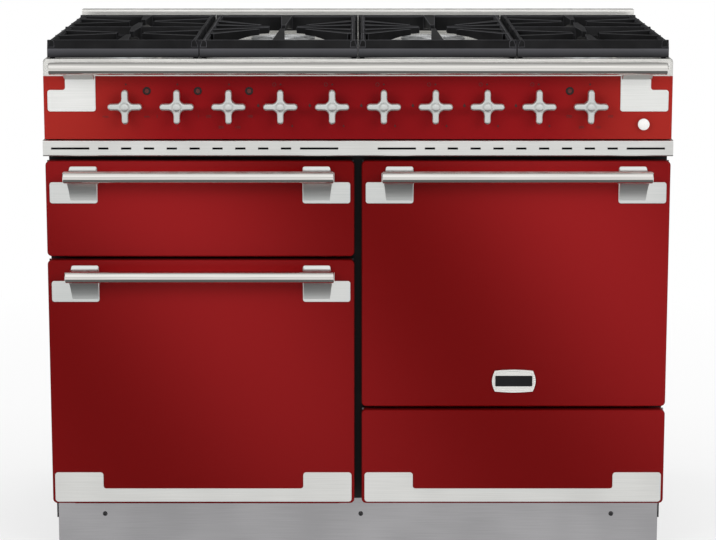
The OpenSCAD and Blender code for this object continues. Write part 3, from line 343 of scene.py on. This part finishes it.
def merged_cad(node):
    """A CAD node's solid as a merged mesh with whole flat faces."""
    solid = bmesh.new()
    solid.from_mesh(NODES[node].data)
    bmesh.ops.remove_doubles(solid, verts=solid.verts, dist=0.01 * MM)
    bmesh.ops.dissolve_limit(solid, angle_limit=math.radians(0.6), verts=solid.verts, edges=solid.edges,
                             use_dissolve_boundaries=False)
    return solid


def round_edges(solid, edges, radius, segments):
    """Bevel edges to a quarter round. Returns the new faces."""
    made = bmesh.ops.bevel(solid, geom=edges, offset=radius, offset_type="OFFSET", segments=segments,
                           profile=0.5, affect="EDGES", clamp_overlap=True, material=-1)
    return made["faces"]


def long_edges(solid, over):
    """The edges longer than 4 mm that turn by more than an angle in degrees."""
    return [e for e in solid.edges if len(e.link_faces) == 2 and e.calc_length() > 4 * MM
            and e.calc_face_angle(0) > math.radians(over)]


def softened_node(node, body, material, radius):
    """A CAD node's own solid with its long sharp edges rounded, in place of the node."""
    solid = merged_cad(node)
    round_edges(solid, long_edges(solid, 28), radius, 2)
    show(finish_mesh(node + "_finished", solid, material), body, [node])


def lathe(solid, profile, steps=40, closed=False):
    """Spin a profile of (radius, height) points in mm round the Z axis. closed joins its last point to its
    first, as a ring needs. Returns the vertices."""
    points = [solid.verts.new((r * MM, 0, z * MM)) for r, z in profile]
    pairs = list(zip(points, points[1:]))
    if closed:
        pairs.append((points[-1], points[0]))
    lines = [solid.edges.new(pair) for pair in pairs]
    before = set(solid.verts) - set(points)
    bmesh.ops.spin(solid, geom=points + lines, cent=(0, 0, 0), axis=(0, 0, 1), dvec=(0, 0, 0),
                   angle=math.tau, steps=steps, use_merge=True, use_duplicate=False)
    made = [v for v in solid.verts if v not in before]
    bmesh.ops.remove_doubles(solid, verts=made, dist=0.001 * MM)
    return [v for v in made if v.is_valid]


def place(solid, made, matrix):
    """Move the vertices just made to their place."""
    bmesh.ops.transform(solid, matrix=matrix, verts=made)


def facing_front(x, y, z):
    """The matrix that turns +Z to the cooker's front, -Y, and moves the origin to a point."""
    return Matrix.Translation((x, y, z)) @ Matrix.Rotation(math.radians(90), 4, "X")


def arc(cx, cy, r, start, end, steps):
    """Points on an arc, angles in degrees."""
    turn = [math.radians(start + (end - start) * i / steps) for i in range(steps + 1)]
    return [(cx + r * math.cos(a), cy + r * math.sin(a)) for a in turn]


def rounded_rectangle(w, h, r):
    """The outline of a plate from (0, 0) to (w, h)."""
    return (arc(r, r, r, 180, 270, 5) + arc(w - r, r, r, 270, 360, 5) + arc(w - r, h - r, r, 0, 90, 5)
            + arc(r, h - r, r, 90, 180, 5))


def plate(solid, outline, thickness, bevel=0.0, segments=2):
    """A flat plate with an outline in mm in the XY plane, from z = 0 up, its upper edge rounded."""
    before = set(solid.verts)
    face = solid.faces.new([solid.verts.new((x * MM, y * MM, 0)) for x, y in outline])
    grown = bmesh.ops.extrude_face_region(solid, geom=[face])["geom"]
    top = [v for v in grown if isinstance(v, bmesh.types.BMVert)]
    bmesh.ops.translate(solid, verts=top, vec=(0, 0, thickness))
    if bevel:
        rim = [e for e in solid.edges if e.verts[0] in top and e.verts[1] in top]
        round_edges(solid, rim, bevel, segments)
    return [v for v in solid.verts if v not in before]


# Places read from the frame

FRONT_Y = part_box("right_door_panel")[0].y
RIM_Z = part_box("control_fascia")[1].z
DOORS_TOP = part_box("grill_door_panel")[1].z
LEFT_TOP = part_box("left_door_panel")[1].z
KNOBS = range(1, 11)
KNOB_AT = {}
for i in KNOBS:
    low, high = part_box(f"knob_{i}")
    KNOB_AT[i] = Vector(((low.x + high.x) / 2, high.y, (low.z + high.z) / 2))


# Door and drawer fronts: a pressed panel with a rolled edge, open at the back

CORNER_R, ROLL_R, SHEET_T = 8 * MM, 3.2 * MM, 1.6 * MM
HINGE_IN = 34.6 * MM  # from a door's side to the middle of its hinge arm
NOTCH_HALF, NOTCH_FRONT = 4.5 * MM, 6 * MM


def hinge_notch(solid, x, low):
    """Open the bottom fold of a door's pressing for the hinge arm at x."""
    front = low.y + NOTCH_FRONT

    def fold():
        solid.normal_update()
        return [f for f in solid.faces
                if f.normal.z < -0.9 and abs(f.calc_center_median().z - low.z) < 0.1 * MM]

    for point, across in (((x - NOTCH_HALF, 0, 0), (1, 0, 0)), ((x + NOTCH_HALF, 0, 0), (1, 0, 0)),
                          ((0, front, 0), (0, 1, 0))):
        faces = fold()
        cut = faces + list({e for f in faces for e in f.edges}) + list({v for f in faces for v in f.verts})
        bmesh.ops.bisect_plane(solid, geom=cut, plane_co=point, plane_no=across)
    middles = {f: f.calc_center_median() for f in fold()}
    open_faces = [f for f, middle in middles.items() if abs(middle.x - x) < NOTCH_HALF and middle.y > front]
    bmesh.ops.delete(solid, geom=open_faces, context="FACES")


def door_front(node, body):
    low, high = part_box(node)
    size = high - low
    solid = bmesh.new()
    bmesh.ops.create_cube(solid, size=1)
    bmesh.ops.scale(solid, vec=size, verts=solid.verts)
    bmesh.ops.translate(solid, verts=solid.verts, vec=(low + high) / 2)
    corners = [e for e in solid.edges if abs(e.verts[0].co.y - e.verts[1].co.y) > size.y / 2]
    round_edges(solid, corners, CORNER_R, 8)
    front_rim = [e for e in solid.edges
                 if all(abs(v.co.y - low.y) < 0.01 * MM for v in e.verts) and len(e.link_faces) == 2]
    round_edges(solid, front_rim, ROLL_R, 6)
    back = [f for f in solid.faces if f.normal.y > 0.9]
    bmesh.ops.delete(solid, geom=back, context="FACES")
    if node != "drawer_front":
        for x in (low.x + HINGE_IN, high.x - HINGE_IN):
            hinge_notch(solid, x, low)
    show(finish_mesh(node + "_pressing", solid, DOOR_RED, 50, wall=SHEET_T), body, [node])


for node, body in (("grill_door_panel", "grill_door"), ("left_door_panel", "left_oven_door"),
                   ("right_door_panel", "right_oven_door"), ("drawer_front", "storage_drawer")):
    door_front(node, body)


# Control knobs: a cross of four rounded arms with concave fillets, a domed boss and a waisted stem

KNOB_STEM = ((0, 0), (9.6, 0), (10, 0.6), (9.9, 1.6), (8.8, 2.6), (7.8, 5), (7.4, 9), (8.2, 13), (9.8, 16.5),
             (9.4, 18.5), (0, 18.5))
# Radius, and height above the boss's shoulder
KNOB_BOSS = ((0, -3), (8.6, -3), (8.8, 0.4), (8.2, 1.2), (7.4, 1.1), (7.1, 1.7), (6.4, 2.7), (4.6, 3.6),
             (2.4, 4.0), (0, 4.1))


def cross_outline(tip, r, fillet):
    """Four arms of radius r, whose tips' centres lie tip from the middle, joined by fillets."""
    points = []
    for quarter in range(4):
        turn = Matrix.Rotation(math.radians(90 * quarter), 2)
        side = arc(tip, 0, r, -90, 90, 12) + arc(r + fillet, r + fillet, fillet, 270, 180, 10)
        points += [tuple(turn @ Vector(p)) for p in side]
    return points


def knob(i):
    low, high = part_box(f"knob_{i}")
    reach, half = (high.y - low.y) / MM, (high.x - low.x) / 2 / MM
    arm_r, fillet, arm_depth, arm_edge = 5.9, 9, 12.6 * MM, 4.2 * MM
    solid = bmesh.new()
    arms = plate(solid, cross_outline(half - arm_r, arm_r, fillet), arm_depth, arm_edge, 5)
    place(solid, arms, Matrix.Translation((0, 0, (reach - 17) * MM)))
    lathe(solid, KNOB_STEM)
    shoulder = reach - 4.4
    lathe(solid, [(r, shoulder + z) for r, z in KNOB_BOSS])
    place(solid, solid.verts, facing_front(*KNOB_AT[i]))
    show(finish_mesh(f"knob_{i}_casting", solid, KNOB_ZINC, 45), f"control_{i}",
         [f"knob_{i}"])


for i in KNOBS:
    knob(i)


# Handles: a polished tube on two plates, held by wide arms that sweep forward

BAR_R = 10.5 * MM
BAR_END_R = 2.5  # rounding of the tube's ends, in mm
BRACKET_IN = 31  # from a handle's end, where the plate's foot ends, in to its tab, in mm
PLATE_T = 1.9 * MM
ARM_FOOT_Y = FRONT_Y - 1.8 * MM

# A bracket in mm. over: how far the tube runs past its arms. step: how far the plate's tab is cut short at
# its outer side. flare: how far an arm's outer side runs outwards on its way to the tube. up and down: side
# profiles of an arm's upper and lower faces, out from the plate and above the arm's middle line. A door
# handle's arm bulges below the bar and runs down into its plate. The hob rail's arm is slimmer.
DOOR_BRACKET = SimpleNamespace(
    over=0, step=4, flare=8.6, plate_steel=PLATE_STEEL,
    up=((0, 13.2), (1.2, 11), (2.6, 8.6), (4.2, 6.6), (6.5, 5.8), (14, 5.8), (24, 6.6), (36, 8.4)),
    down=((0, -47), (1, -42), (2.5, -36), (5, -28.5), (8, -22), (11.5, -16.5), (16, -11.5), (22, -8.8),
          (36, -8)))
RAIL_BRACKET = SimpleNamespace(
    over=21, step=0, flare=3, plate_steel=LIT_RAIL_PLATE_STEEL,
    up=((0, 13.2), (1.2, 12.6), (3, 11.8), (6, 10.8), (10, 9.8), (15, 9.2), (24, 8.8), (36, 8.4)),
    down=((0, 9), (2, 7), (6, 3), (12, 0), (20, -2.6), (36, -4.6)))
TAB_W, TAB_HALF, FOOT_W, FOOT_H, PLATE_R = 53, 14, 84, 38, 4.5


def handle_arm(solid, bracket, outer, side, tab_z, bar_y, bar_z):
    """One arm, wide along X: it is deep at its plate and slim at the tube."""
    reach = ARM_FOOT_Y - bar_y
    edges = []
    for profile in (bracket.up, bracket.down):
        edge = []
        for out, half in profile:
            t = min(out * MM / reach, 1)
            middle = tab_z + (bar_z - tab_z) * (3 * t ** 2 - 2 * t ** 3)
            edge.append((ARM_FOOT_Y - t * reach, middle + half * MM))
        edges.append(edge)
    upper, lower = edges
    outer -= side * (bracket.step + 1.2) * MM
    width = (50.6 - bracket.step) * MM
    before = set(solid.verts)
    face = solid.faces.new([solid.verts.new((outer - side * width, y, z)) for y, z in upper + lower[::-1]])
    grown = bmesh.ops.extrude_face_region(solid, geom=[face])["geom"]
    far = [v for v in grown if isinstance(v, bmesh.types.BMVert)]
    for v in far:
        out = (ARM_FOOT_Y - v.co.y) / reach
        v.co.x += side * (width + bracket.flare * MM * out ** 0.7)
    made = [v for v in solid.verts if v not in before]
    rims = [e for e in solid.edges if e.verts[0] in made and e.verts[1] in made
            and (e.verts[0] in far) == (e.verts[1] in far)]
    round_edges(solid, rims, 1.6 * MM, 3)


def bracket_plate(solid, bracket, outer, side, tab_z):
    """The plate on the door: a narrow tab above a wider foot, with all corners rounded."""
    step, r = bracket.step, PLATE_R
    shape = (arc(-TAB_W + r, TAB_HALF - r, r, 180, 90, 5) + arc(-step - r, TAB_HALF - r, r, 90, 0, 5)
             + arc(-step + r, -TAB_HALF + r, r, 180, 270, 5)
             + arc(FOOT_W - TAB_W - r, -TAB_HALF - r, r, 90, 0, 5)
             + arc(FOOT_W - TAB_W - r, -TAB_HALF - FOOT_H + r, r, 0, -90, 5)
             + arc(-TAB_W + r, -TAB_HALF - FOOT_H + r, r, 270, 180, 5))
    made = plate(solid, [(side * x, z) for x, z in shape], PLATE_T, 0.7 * MM, 3)
    place(solid, made, facing_front(outer, FRONT_Y, tab_z))


def bar_handle(node, body, tab_z, bracket):
    """A tube on two brackets. side is -1 on the left and 1 on the right."""
    low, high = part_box(node)
    bar_y = low.y + BAR_R
    bar_z = high.z - BAR_R if bracket.over else tab_z
    inset = (BRACKET_IN - BAR_END_R - bracket.over) * MM
    length = (high.x - low.x - 2 * inset) / MM
    r, end = BAR_R / MM, BAR_END_R
    profile = ([(0, 0), (r - end, 0)] + arc(r - end, end, end, -60, 0, 4)
               + arc(r - end, length - end, end, 0, 60, 4) + [(r - end, length), (0, length)])
    tube = bmesh.new()
    lathe(tube, profile, 48)
    start = Matrix.Translation((low.x + inset, bar_y, bar_z))
    place(tube, tube.verts, start @ Matrix.Rotation(math.radians(90), 4, "Y"))
    show(finish_mesh(node + "_tube", tube, BAR_STEEL, 50, weighted=False), body, [node])
    plates = bmesh.new()
    arms = bmesh.new()
    for side, end_x in ((-1, low.x), (1, high.x)):
        outer = end_x - side * BRACKET_IN * MM
        bracket_plate(plates, bracket, outer, side, tab_z)
        handle_arm(arms, bracket, outer, side, tab_z, bar_y, bar_z)
    show(finish_mesh(node + "_plates", plates, bracket.plate_steel), body)
    show(finish_mesh(node + "_arms", arms, PLATE_STEEL, 50), body)


TAB_DOWN = 23 * MM  # from a door's top to the middle of its handle
bar_handle("grill_door_handle", "grill_door", DOORS_TOP - TAB_DOWN, DOOR_BRACKET)
bar_handle("right_door_handle", "right_oven_door", DOORS_TOP - TAB_DOWN, DOOR_BRACKET)
bar_handle("left_door_handle", "left_oven_door", LEFT_TOP - TAB_DOWN, DOOR_BRACKET)
bar_handle("hob_rail", "carcase", RIM_Z - 10 * MM, RAIL_BRACKET)


# Hob, fascia, vent trim, plinth and badge plate: the CAD solids with their edges rounded

def rolled_hob(roll=6 * MM, corner=8 * MM):
    """The hob pressing with its stepped front and side edges drawn in to one quarter round."""
    low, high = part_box("hob_top")
    middle, half = (low + high) / 2, (high - low) / 2
    upstand_h, upstand_zone = 37 * MM, 60 * MM
    rim_top = high.z - upstand_h
    solid = merged_cad("hob_top")
    round_edges(solid, long_edges(solid, 28), 1.6 * MM, 3)
    for vert in solid.verts:
        x, y, z = vert.co - middle
        if y > half.y - upstand_zone:
            continue
        away = Vector((max(abs(x) - half.x + corner, 0), max(abs(y) - half.y + corner, 0)))
        inset = corner - away.length
        rise = vert.co.z - (rim_top - roll)
        from_centre = Vector((roll - inset, rise))
        if away.length == 0 or inset > roll or rise < 0 or from_centre.length <= roll:
            continue
        pull = from_centre.normalized() * roll - from_centre
        toward = away.normalized() * pull.x
        vert.co += Vector((toward.x * math.copysign(1, x), toward.y * math.copysign(1, y), pull.y))
    show(finish_mesh("hob_top_finished", solid, HOB_STEEL), "carcase", ["hob_top"])


rolled_hob()
softened_node("control_fascia", "carcase", FASCIA_RED, 0.8 * MM)
softened_node("vent_trim", "carcase", TRIM_STEEL, 0.5 * MM)
softened_node("plinth", "carcase", PLINTH_STEEL, 0.6 * MM)
softened_node("badge_plate", "right_oven_door", HOB_STEEL, 0.4 * MM)


# Pan supports: castings with rounded edges, with a grey highlight painted on them and a painted sheen up the
# rails' outer faces to their ridge

def support_casting(i):
    node = f"pan_support_{i}"
    low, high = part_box(node)
    foot_z, ridge_z = high.z - 30 * MM, high.z - 15 * MM
    solid = merged_cad(node)
    painted_highlight = solid.verts.layers.float.new("painted_highlight")
    roundings = set(round_edges(solid, long_edges(solid, 16), 1.5 * MM, 3))
    for vert in solid.verts:
        x, y, z = vert.co
        outside = min(abs(x - low.x), abs(x - high.x), abs(y - low.y), abs(y - high.y)) < 0.1 * MM
        # Painted sheen: from none at the rail's foot to full at its ridge, for light from above and in front.
        if outside and foot_z < z < ridge_z:
            vert[painted_highlight] = (z - foot_z) / (ridge_z - foot_z)
        # Painted highlight on the rounded edges.
        elif all(face in roundings for face in vert.link_faces):
            vert[painted_highlight] = 0.9
    show(finish_mesh(node + "_casting", solid, IRON), f"support_{i}", [node])


for i in (1, 2, 3, 4):
    support_casting(i)


# Trims along the bottoms of the left door and the drawer: a strip with an ear at each end

def corner_trim(node, body):
    low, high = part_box(node)
    w, h = (high.x - low.x) / MM, (high.z - low.z) / MM
    ear, strip, r, inside = 87, 25, 5.5, 4.5
    shape = (arc(r, r, r, 180, 270, 5) + arc(w - r, r, r, 270, 360, 5) + arc(w - r, h - r, r, 0, 90, 5)
             + arc(w - ear + r, h - r, r, 90, 180, 5)
             + arc(w - ear - inside, strip + inside, inside, 360, 270, 5)
             + arc(ear + inside, strip + inside, inside, 270, 180, 5)
             + arc(ear - r, h - r, r, 0, 90, 5) + arc(r, h - r, r, 90, 180, 5))
    solid = bmesh.new()
    made = plate(solid, shape, high.y - low.y, 0.7 * MM, 3)
    place(solid, made, facing_front(low.x, high.y, low.z))
    show(finish_mesh(node + "_pressing", solid, TRIM_STEEL), body, [node])


corner_trim("left_door_trim", "left_oven_door")
corner_trim("drawer_trim", "storage_drawer")


# Burner caps: domed, black on the four standard burners and bare metal on the two large ones

STANDARD_R, RING_R, RING_BORE, MIDDLE_R = 39, 59, 43, 22


def burner_cap(solid, x, y, r, bore=0):
    """A domed cap of radius r mm, or a ring where it has a bore."""
    edge = arc(r - 2.2, 2.2, 2.2, -70, 60, 7)
    crest = 4.6 if bore else 5.6
    inside = [(bore + 1.5, crest), (bore + 0.3, crest - 1), (bore, 0)] if bore else [(0, crest)]
    profile = [(bore, 0), (r - 1.6, 0)] + edge + [(r * 0.8 + bore * 0.2, crest - 0.7)] + inside
    made = lathe(solid, profile, 64, closed=bore > 0)
    place(solid, made, Matrix.Translation((x, y, CAP_Z)))


cap_low, cap_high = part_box("burner_caps")
CAP_Z = cap_high.z - 5.8 * MM
standard_caps, large_caps = bmesh.new(), bmesh.new()
for x in (cap_low.x + STANDARD_R * MM, cap_high.x - STANDARD_R * MM):
    for y in (cap_low.y + STANDARD_R * MM, cap_high.y - STANDARD_R * MM):
        burner_cap(standard_caps, x, y, STANDARD_R)
for i in (2, 3):
    low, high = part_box(f"pan_support_{i}")
    x, y = (low.x + high.x) / 2, (low.y + high.y) / 2
    burner_cap(large_caps, x, y, RING_R, RING_BORE)
    burner_cap(large_caps, x, y, MIDDLE_R)
show(finish_mesh("standard_burner_caps", standard_caps, CAP_BLACK, 50, weighted=False), "carcase",
     ["burner_caps"])
show(finish_mesh("large_burner_caps", large_caps, BURNER_METAL, 50, weighted=False), "carcase",
     ["burner_caps"])


# The badge plate's blank inlay

badge_low, badge_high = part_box("badge_plate")
RIM = 6
w, h = (badge_high.x - badge_low.x) / MM - 2 * RIM, (badge_high.z - badge_low.z) * 0.46 / MM
inlay = bmesh.new()
made = plate(inlay, rounded_rectangle(w, h, 2), 1.2 * MM, 0.4 * MM)
place(inlay, made, facing_front(badge_low.x + RIM * MM, badge_low.y + 1.4 * MM,
                                (badge_low.z + badge_high.z - h * MM) / 2))
show(finish_mesh("badge_inlay", inlay, CARCASE_BLACK), "right_oven_door")


# Small pieces: bezels round the neon lenses, and screws

BEZEL = ((4.1, 0), (7.0, 0), (7.0, 0.7), (6.4, 1.4), (5.2, 1.6), (4.5, 1.2), (4.1, 0.6))
lens_low, lens_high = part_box("indicator_lenses")
LENS_Z = (lens_low.z + lens_high.z) / 2
bezels = bmesh.new()
for i, beside in ((1, 36.5), (2, 35.5), (3, 35), (10, -35.5)):
    made = lathe(bezels, BEZEL, 32, closed=True)
    place(bezels, made, facing_front(KNOB_AT[i].x + beside * MM, FRONT_Y, LENS_Z))
show(finish_mesh("neon_bezels", bezels, FOOT, 50, weighted=False), "carcase")


def screw_heads(name, body, places, turn, r=4.4):
    """Pan-head screws with a drive recess. turn takes +Z to the way they face."""
    solid = bmesh.new()
    profile = [(0, 0.5), (0.28 * r, 0.7), (0.4 * r, 1.9), (0.75 * r, 1.7), (0.95 * r, 0.9), (r, 0.1),
               (r, -0.3), (0, -0.3)]
    for spot in places:
        made = lathe(solid, profile, 16)
        place(solid, made, Matrix.Translation(spot) @ turn)
    show(finish_mesh(name, solid, SCREW, 60, weighted=False), body)


TO_FRONT = Matrix.Rotation(math.radians(90), 4, "X")
TO_BACK = Matrix.Rotation(math.radians(-90), 4, "X")
plinth_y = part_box("plinth")[0].y
screw_heads("plinth_screws", "carcase", [(x, plinth_y, 0.066) for x in (-0.461, 0.005, 0.461)], TO_FRONT)
back_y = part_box("rear_panel")[1].y - 26 * MM
rear_places = [(x, back_y, z) for x in (-0.535, -0.3, 0.0, 0.3, 0.535) for z in (0.072, 0.862)]
rear_places += [(x, back_y, z) for x in (-0.535, 0.535) for z in (0.27, 0.47, 0.67)]
screw_heads("rear_panel_screws", "carcase", rear_places, TO_BACK)


# Printed marks round the knobs: a dot above each, a flame and a ring at the gas knobs, numbers at the dials

INK_T = 0.12 * MM
FLAME = [(0, 4), (-1.2, 2.2), (-2.3, 0.6), (-2.2, -1.2), (-1.2, -2.4), (0, -2.8), (1.2, -2.4), (2.2, -1.2),
         (2.0, 0.4), (1.1, 1.4), (0.5, 2.4)]
SMALL_FLAME = [(a * 0.65, b * 0.65) for a, b in FLAME]
DOT = arc(0, 0, 1.6, 0, 342, 19)
THERMOSTAT = ("100", "150", "200", "250")
DIALS = {1: ("min", "max"), 2: ("1", "2", "3"), 3: THERMOSTAT, 10: THERMOSTAT}


def printed(marks, outline, x, z):
    """One flat mark on the fascia, from an outline in mm about the point (x, z) in metres."""
    made = plate(marks, outline, INK_T)
    place(marks, made, facing_front(x, FRONT_Y, z))


def printed_ring(marks, x, z, r, line):
    t = INK_T / MM
    made = lathe(marks, [(r, 0), (r, t), (r - line, t), (r - line, 0)], 20, closed=True)
    place(marks, made, facing_front(x, FRONT_Y, z))


def printed_text(marks, words, x, z, height):
    """A number on a dial, as flat letters."""
    curve = bpy.data.curves.new("dial_number", "FONT")
    curve.body = words
    curve.size = height * MM
    curve.align_x = "CENTER"
    curve.align_y = "CENTER"
    curve.extrude = INK_T / 2
    maker = bpy.data.objects.new("dial_number", curve)
    letters = maker.to_mesh()
    before = set(marks.verts)
    marks.from_mesh(letters)
    made = [v for v in marks.verts if v not in before]
    place(marks, made, facing_front(x, FRONT_Y - INK_T / 2, z))
    maker.to_mesh_clear()
    bpy.data.objects.remove(maker)
    bpy.data.curves.remove(curve)


marks = bmesh.new()
for i in KNOBS:
    x, z = KNOB_AT[i].x, KNOB_AT[i].z
    printed(marks, DOT, x, z + 37 * MM)
    if i in DIALS:
        for k, words in enumerate(DIALS[i]):
            turn = math.radians(-28 - 124 * k / (len(DIALS[i]) - 1))
            printed_text(marks, words, x + 41 * MM * math.cos(turn), z + 41 * MM * math.sin(turn), 6.4)
    else:
        printed(marks, FLAME, x - 39 * MM, z)
        printed(marks, SMALL_FLAME, x + 20 * MM, z - 36 * MM)
        printed_ring(marks, x - 11 * MM, z + 37 * MM, 3.4, 0.8)
show(finish_mesh("control_markings", marks, INK, 30, weighted=False), "carcase")


# CAD nodes kept as they are, with their real finishes

FINISHES = {
    ZINC: ["base_tray", "rear_panel", "fan_motors", "drawer_runners", "door_hinges", "drawer_box"],
    FOOT: ["levelling_feet"],
    CARCASE_BLACK: ["side_panel_left", "side_panel_right", "face_frame"],
    CAVITY: ["grill_liner", "left_oven_liner", "right_oven_liner", "grill_door_inner", "left_door_inner",
             "right_door_inner", "grill_pan"],
    BRASS: ["gas_manifold"],
    SHEATH: ["grill_element"],
    WIRE: ["fan_guards", "shelf_ladders", "left_oven_shelves", "right_oven_shelves", "left_fan", "right_fan"],
    BURNER_METAL: ["burner_heads"],
    CERAMIC: ["igniters"],
    LENS: ["indicator_lenses"],
    SEAL: ["door_seals"],
    BUTTON: ["light_button"],
}
for material, names in FINISHES.items():
    for name in names:
        NODES[name].data.materials.clear()
        NODES[name].data.materials.append(material)


# Stage, light and camera

AMBIENT = 0.36

# What reflections see of the floor, by how steeply they meet it: dark from above, bright far out
FLOOR_MIRRORED = ((0.0, 0.14), (0.36, 0.14), (0.52, 0.88), (1.0, 0.88))

# What reflections see of the studio in front, from the horizon up
SKY = ((0.0, 0.75), (0.14, 0.75), (0.32, 1.0), (0.8, 1.1), (0.95, 0.75), (1.0, 0.6))


def white_stage():
    """A pale floor that keeps the cooker's shadow and is white to the camera further out. Reflections that
    meet it steeply see it dark, as on a satin floor, so polished bars show a dark line low down."""
    material, tree, shader, where = new_material("pale_studio_floor", Roughness=0.9)
    shader.inputs["Base Color"].default_value = (0.86, 0.86, 0.86, 1)
    away = add_node(tree, "VectorMath", None, {0: where}, operation="LENGTH").outputs["Value"]
    rays = add_node(tree, "LightPath").outputs
    white = add_node(tree, "MapRange", {"From Min": 0.7, "From Max": 2.2, "To Min": 0.66, "To Max": 1.0},
                     {"Value": away}).outputs["Result"]
    seen = add_node(tree, "Math", None, {0: white, 1: rays["Is Camera Ray"]}, operation="MULTIPLY")
    share = add_node(tree, "Math", None, {0: seen.outputs[0], 1: rays["Is Glossy Ray"]}, operation="MAXIMUM")
    grazing = add_node(tree, "LayerWeight", {"Blend": 0.5}).outputs["Facing"]
    mirrored = set_stops(add_node(tree, "ValToRGB", None, {"Fac": grazing}), *FLOOR_MIRRORED)
    level = add_node(tree, "Mix", {2: 1.0}, {0: rays["Is Glossy Ray"], 3: mirrored}, data_type="FLOAT")
    glow = add_node(tree, "Emission", {"Color": (1, 1, 1, 1)}, {"Strength": level.outputs[0]})
    mix = add_node(tree, "MixShader", None, {0: share.outputs[0], 1: shader.outputs[0], 2: glow.outputs[0]})
    tree.links.new(mix.outputs[0], tree.nodes["Material Output"].inputs["Surface"])
    solid = bmesh.new()
    bmesh.ops.create_grid(solid, x_segments=1, y_segments=1, size=14)
    floor = finish_mesh("studio_floor", solid, material, weighted=False)
    floor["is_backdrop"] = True


def studio_world():
    """White for the camera and a soft grey fill. Reflections see a wide softbox in front, from 20 to 70
    degrees up, and a dim studio overhead and behind."""
    world = bpy.data.worlds.new("studio_world")
    bpy.context.scene.world = world
    world.use_nodes = True
    tree = world.node_tree
    rays = add_node(tree, "LightPath").outputs
    direction = add_node(tree, "TexCoord").outputs["Generated"]
    axes = add_node(tree, "SeparateXYZ", None, {"Vector": direction}).outputs
    sky = set_stops(add_node(tree, "ValToRGB", None, {"Fac": axes["Z"]}), *SKY)
    behind = add_node(tree, "MapRange", {"From Min": -0.15, "From Max": 0.15}, {"Value": axes["Y"]})
    back_wall = add_node(tree, "MapRange", {"From Min": 0.2, "From Max": 0.9, "To Min": 0.1, "To Max": 0.5},
                         {"Value": axes["Z"]}).outputs["Result"]
    around = add_node(tree, "Mix", None, {0: behind.outputs["Result"], 2: sky, 3: back_wall},
                      data_type="FLOAT")
    mirrored = add_node(tree, "Mix", {2: AMBIENT}, {0: rays["Is Glossy Ray"], 3: around.outputs[0]},
                        data_type="FLOAT")
    seen = add_node(tree, "Math", None, {0: rays["Is Camera Ray"], 1: rays["Is Transmission Ray"]},
                    operation="MAXIMUM")
    level = add_node(tree, "Mix", {3: 1.0}, {0: seen.outputs[0], 2: mirrored.outputs[0]}, data_type="FLOAT")
    background = tree.nodes["Background"]
    background.inputs["Color"].default_value = (1, 1, 1, 1)
    tree.links.new(level.outputs[0], background.inputs["Strength"])


def softbox(name, place_at, look_at, size, power):
    """A rectangular area lamp aimed at a point. Reflections see the world's wide softbox in its place."""
    lamp = bpy.data.lights.new(name, "AREA")
    lamp.shape = "RECTANGLE"
    lamp.size, lamp.size_y = size
    lamp.energy = power
    light = bpy.data.objects.new(name, lamp)
    bpy.context.scene.collection.objects.link(light)
    light.location = place_at
    direction = Vector(look_at) - Vector(place_at)
    light.rotation_euler = direction.to_track_quat("-Z", "Y").to_euler()
    light.visible_glossy = False


def camera():
    """The photograph's framing: 4 m in front of the doors, looking 10 degrees down."""
    data = bpy.data.cameras.new("front_camera")
    eye = bpy.data.objects.new("front_camera", data)
    bpy.context.scene.collection.objects.link(eye)
    data.lens = 115.96
    data.sensor_width = 36
    data.shift_y = -0.08
    data.clip_end = 60
    eye.location = (0, FRONT_Y - 4.0, 1.332)
    eye.rotation_euler = (math.pi / 2 - 0.1734, 0, 0)
    bpy.context.scene.camera = eye


white_stage()
studio_world()
softbox("left_softbox", (-2.4, -3.2, 2.4), (0, 0, 0.5), (2.4, 1.8), 62)
softbox("right_softbox", (2.4, -3.2, 2.2), (0, 0, 0.5), (2.4, 1.8), 62)
softbox("top_softbox", (0, 0.2, 3.0), (0, 0, 0.8), (3.0, 2.0), 45)
softbox("back_softbox", (0.6, 3.4, 2.2), (0, 0, 0.5), (2.4, 2.0), 50)
camera()

bpy.context.scene.view_settings.view_transform = "Standard"

low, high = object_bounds()
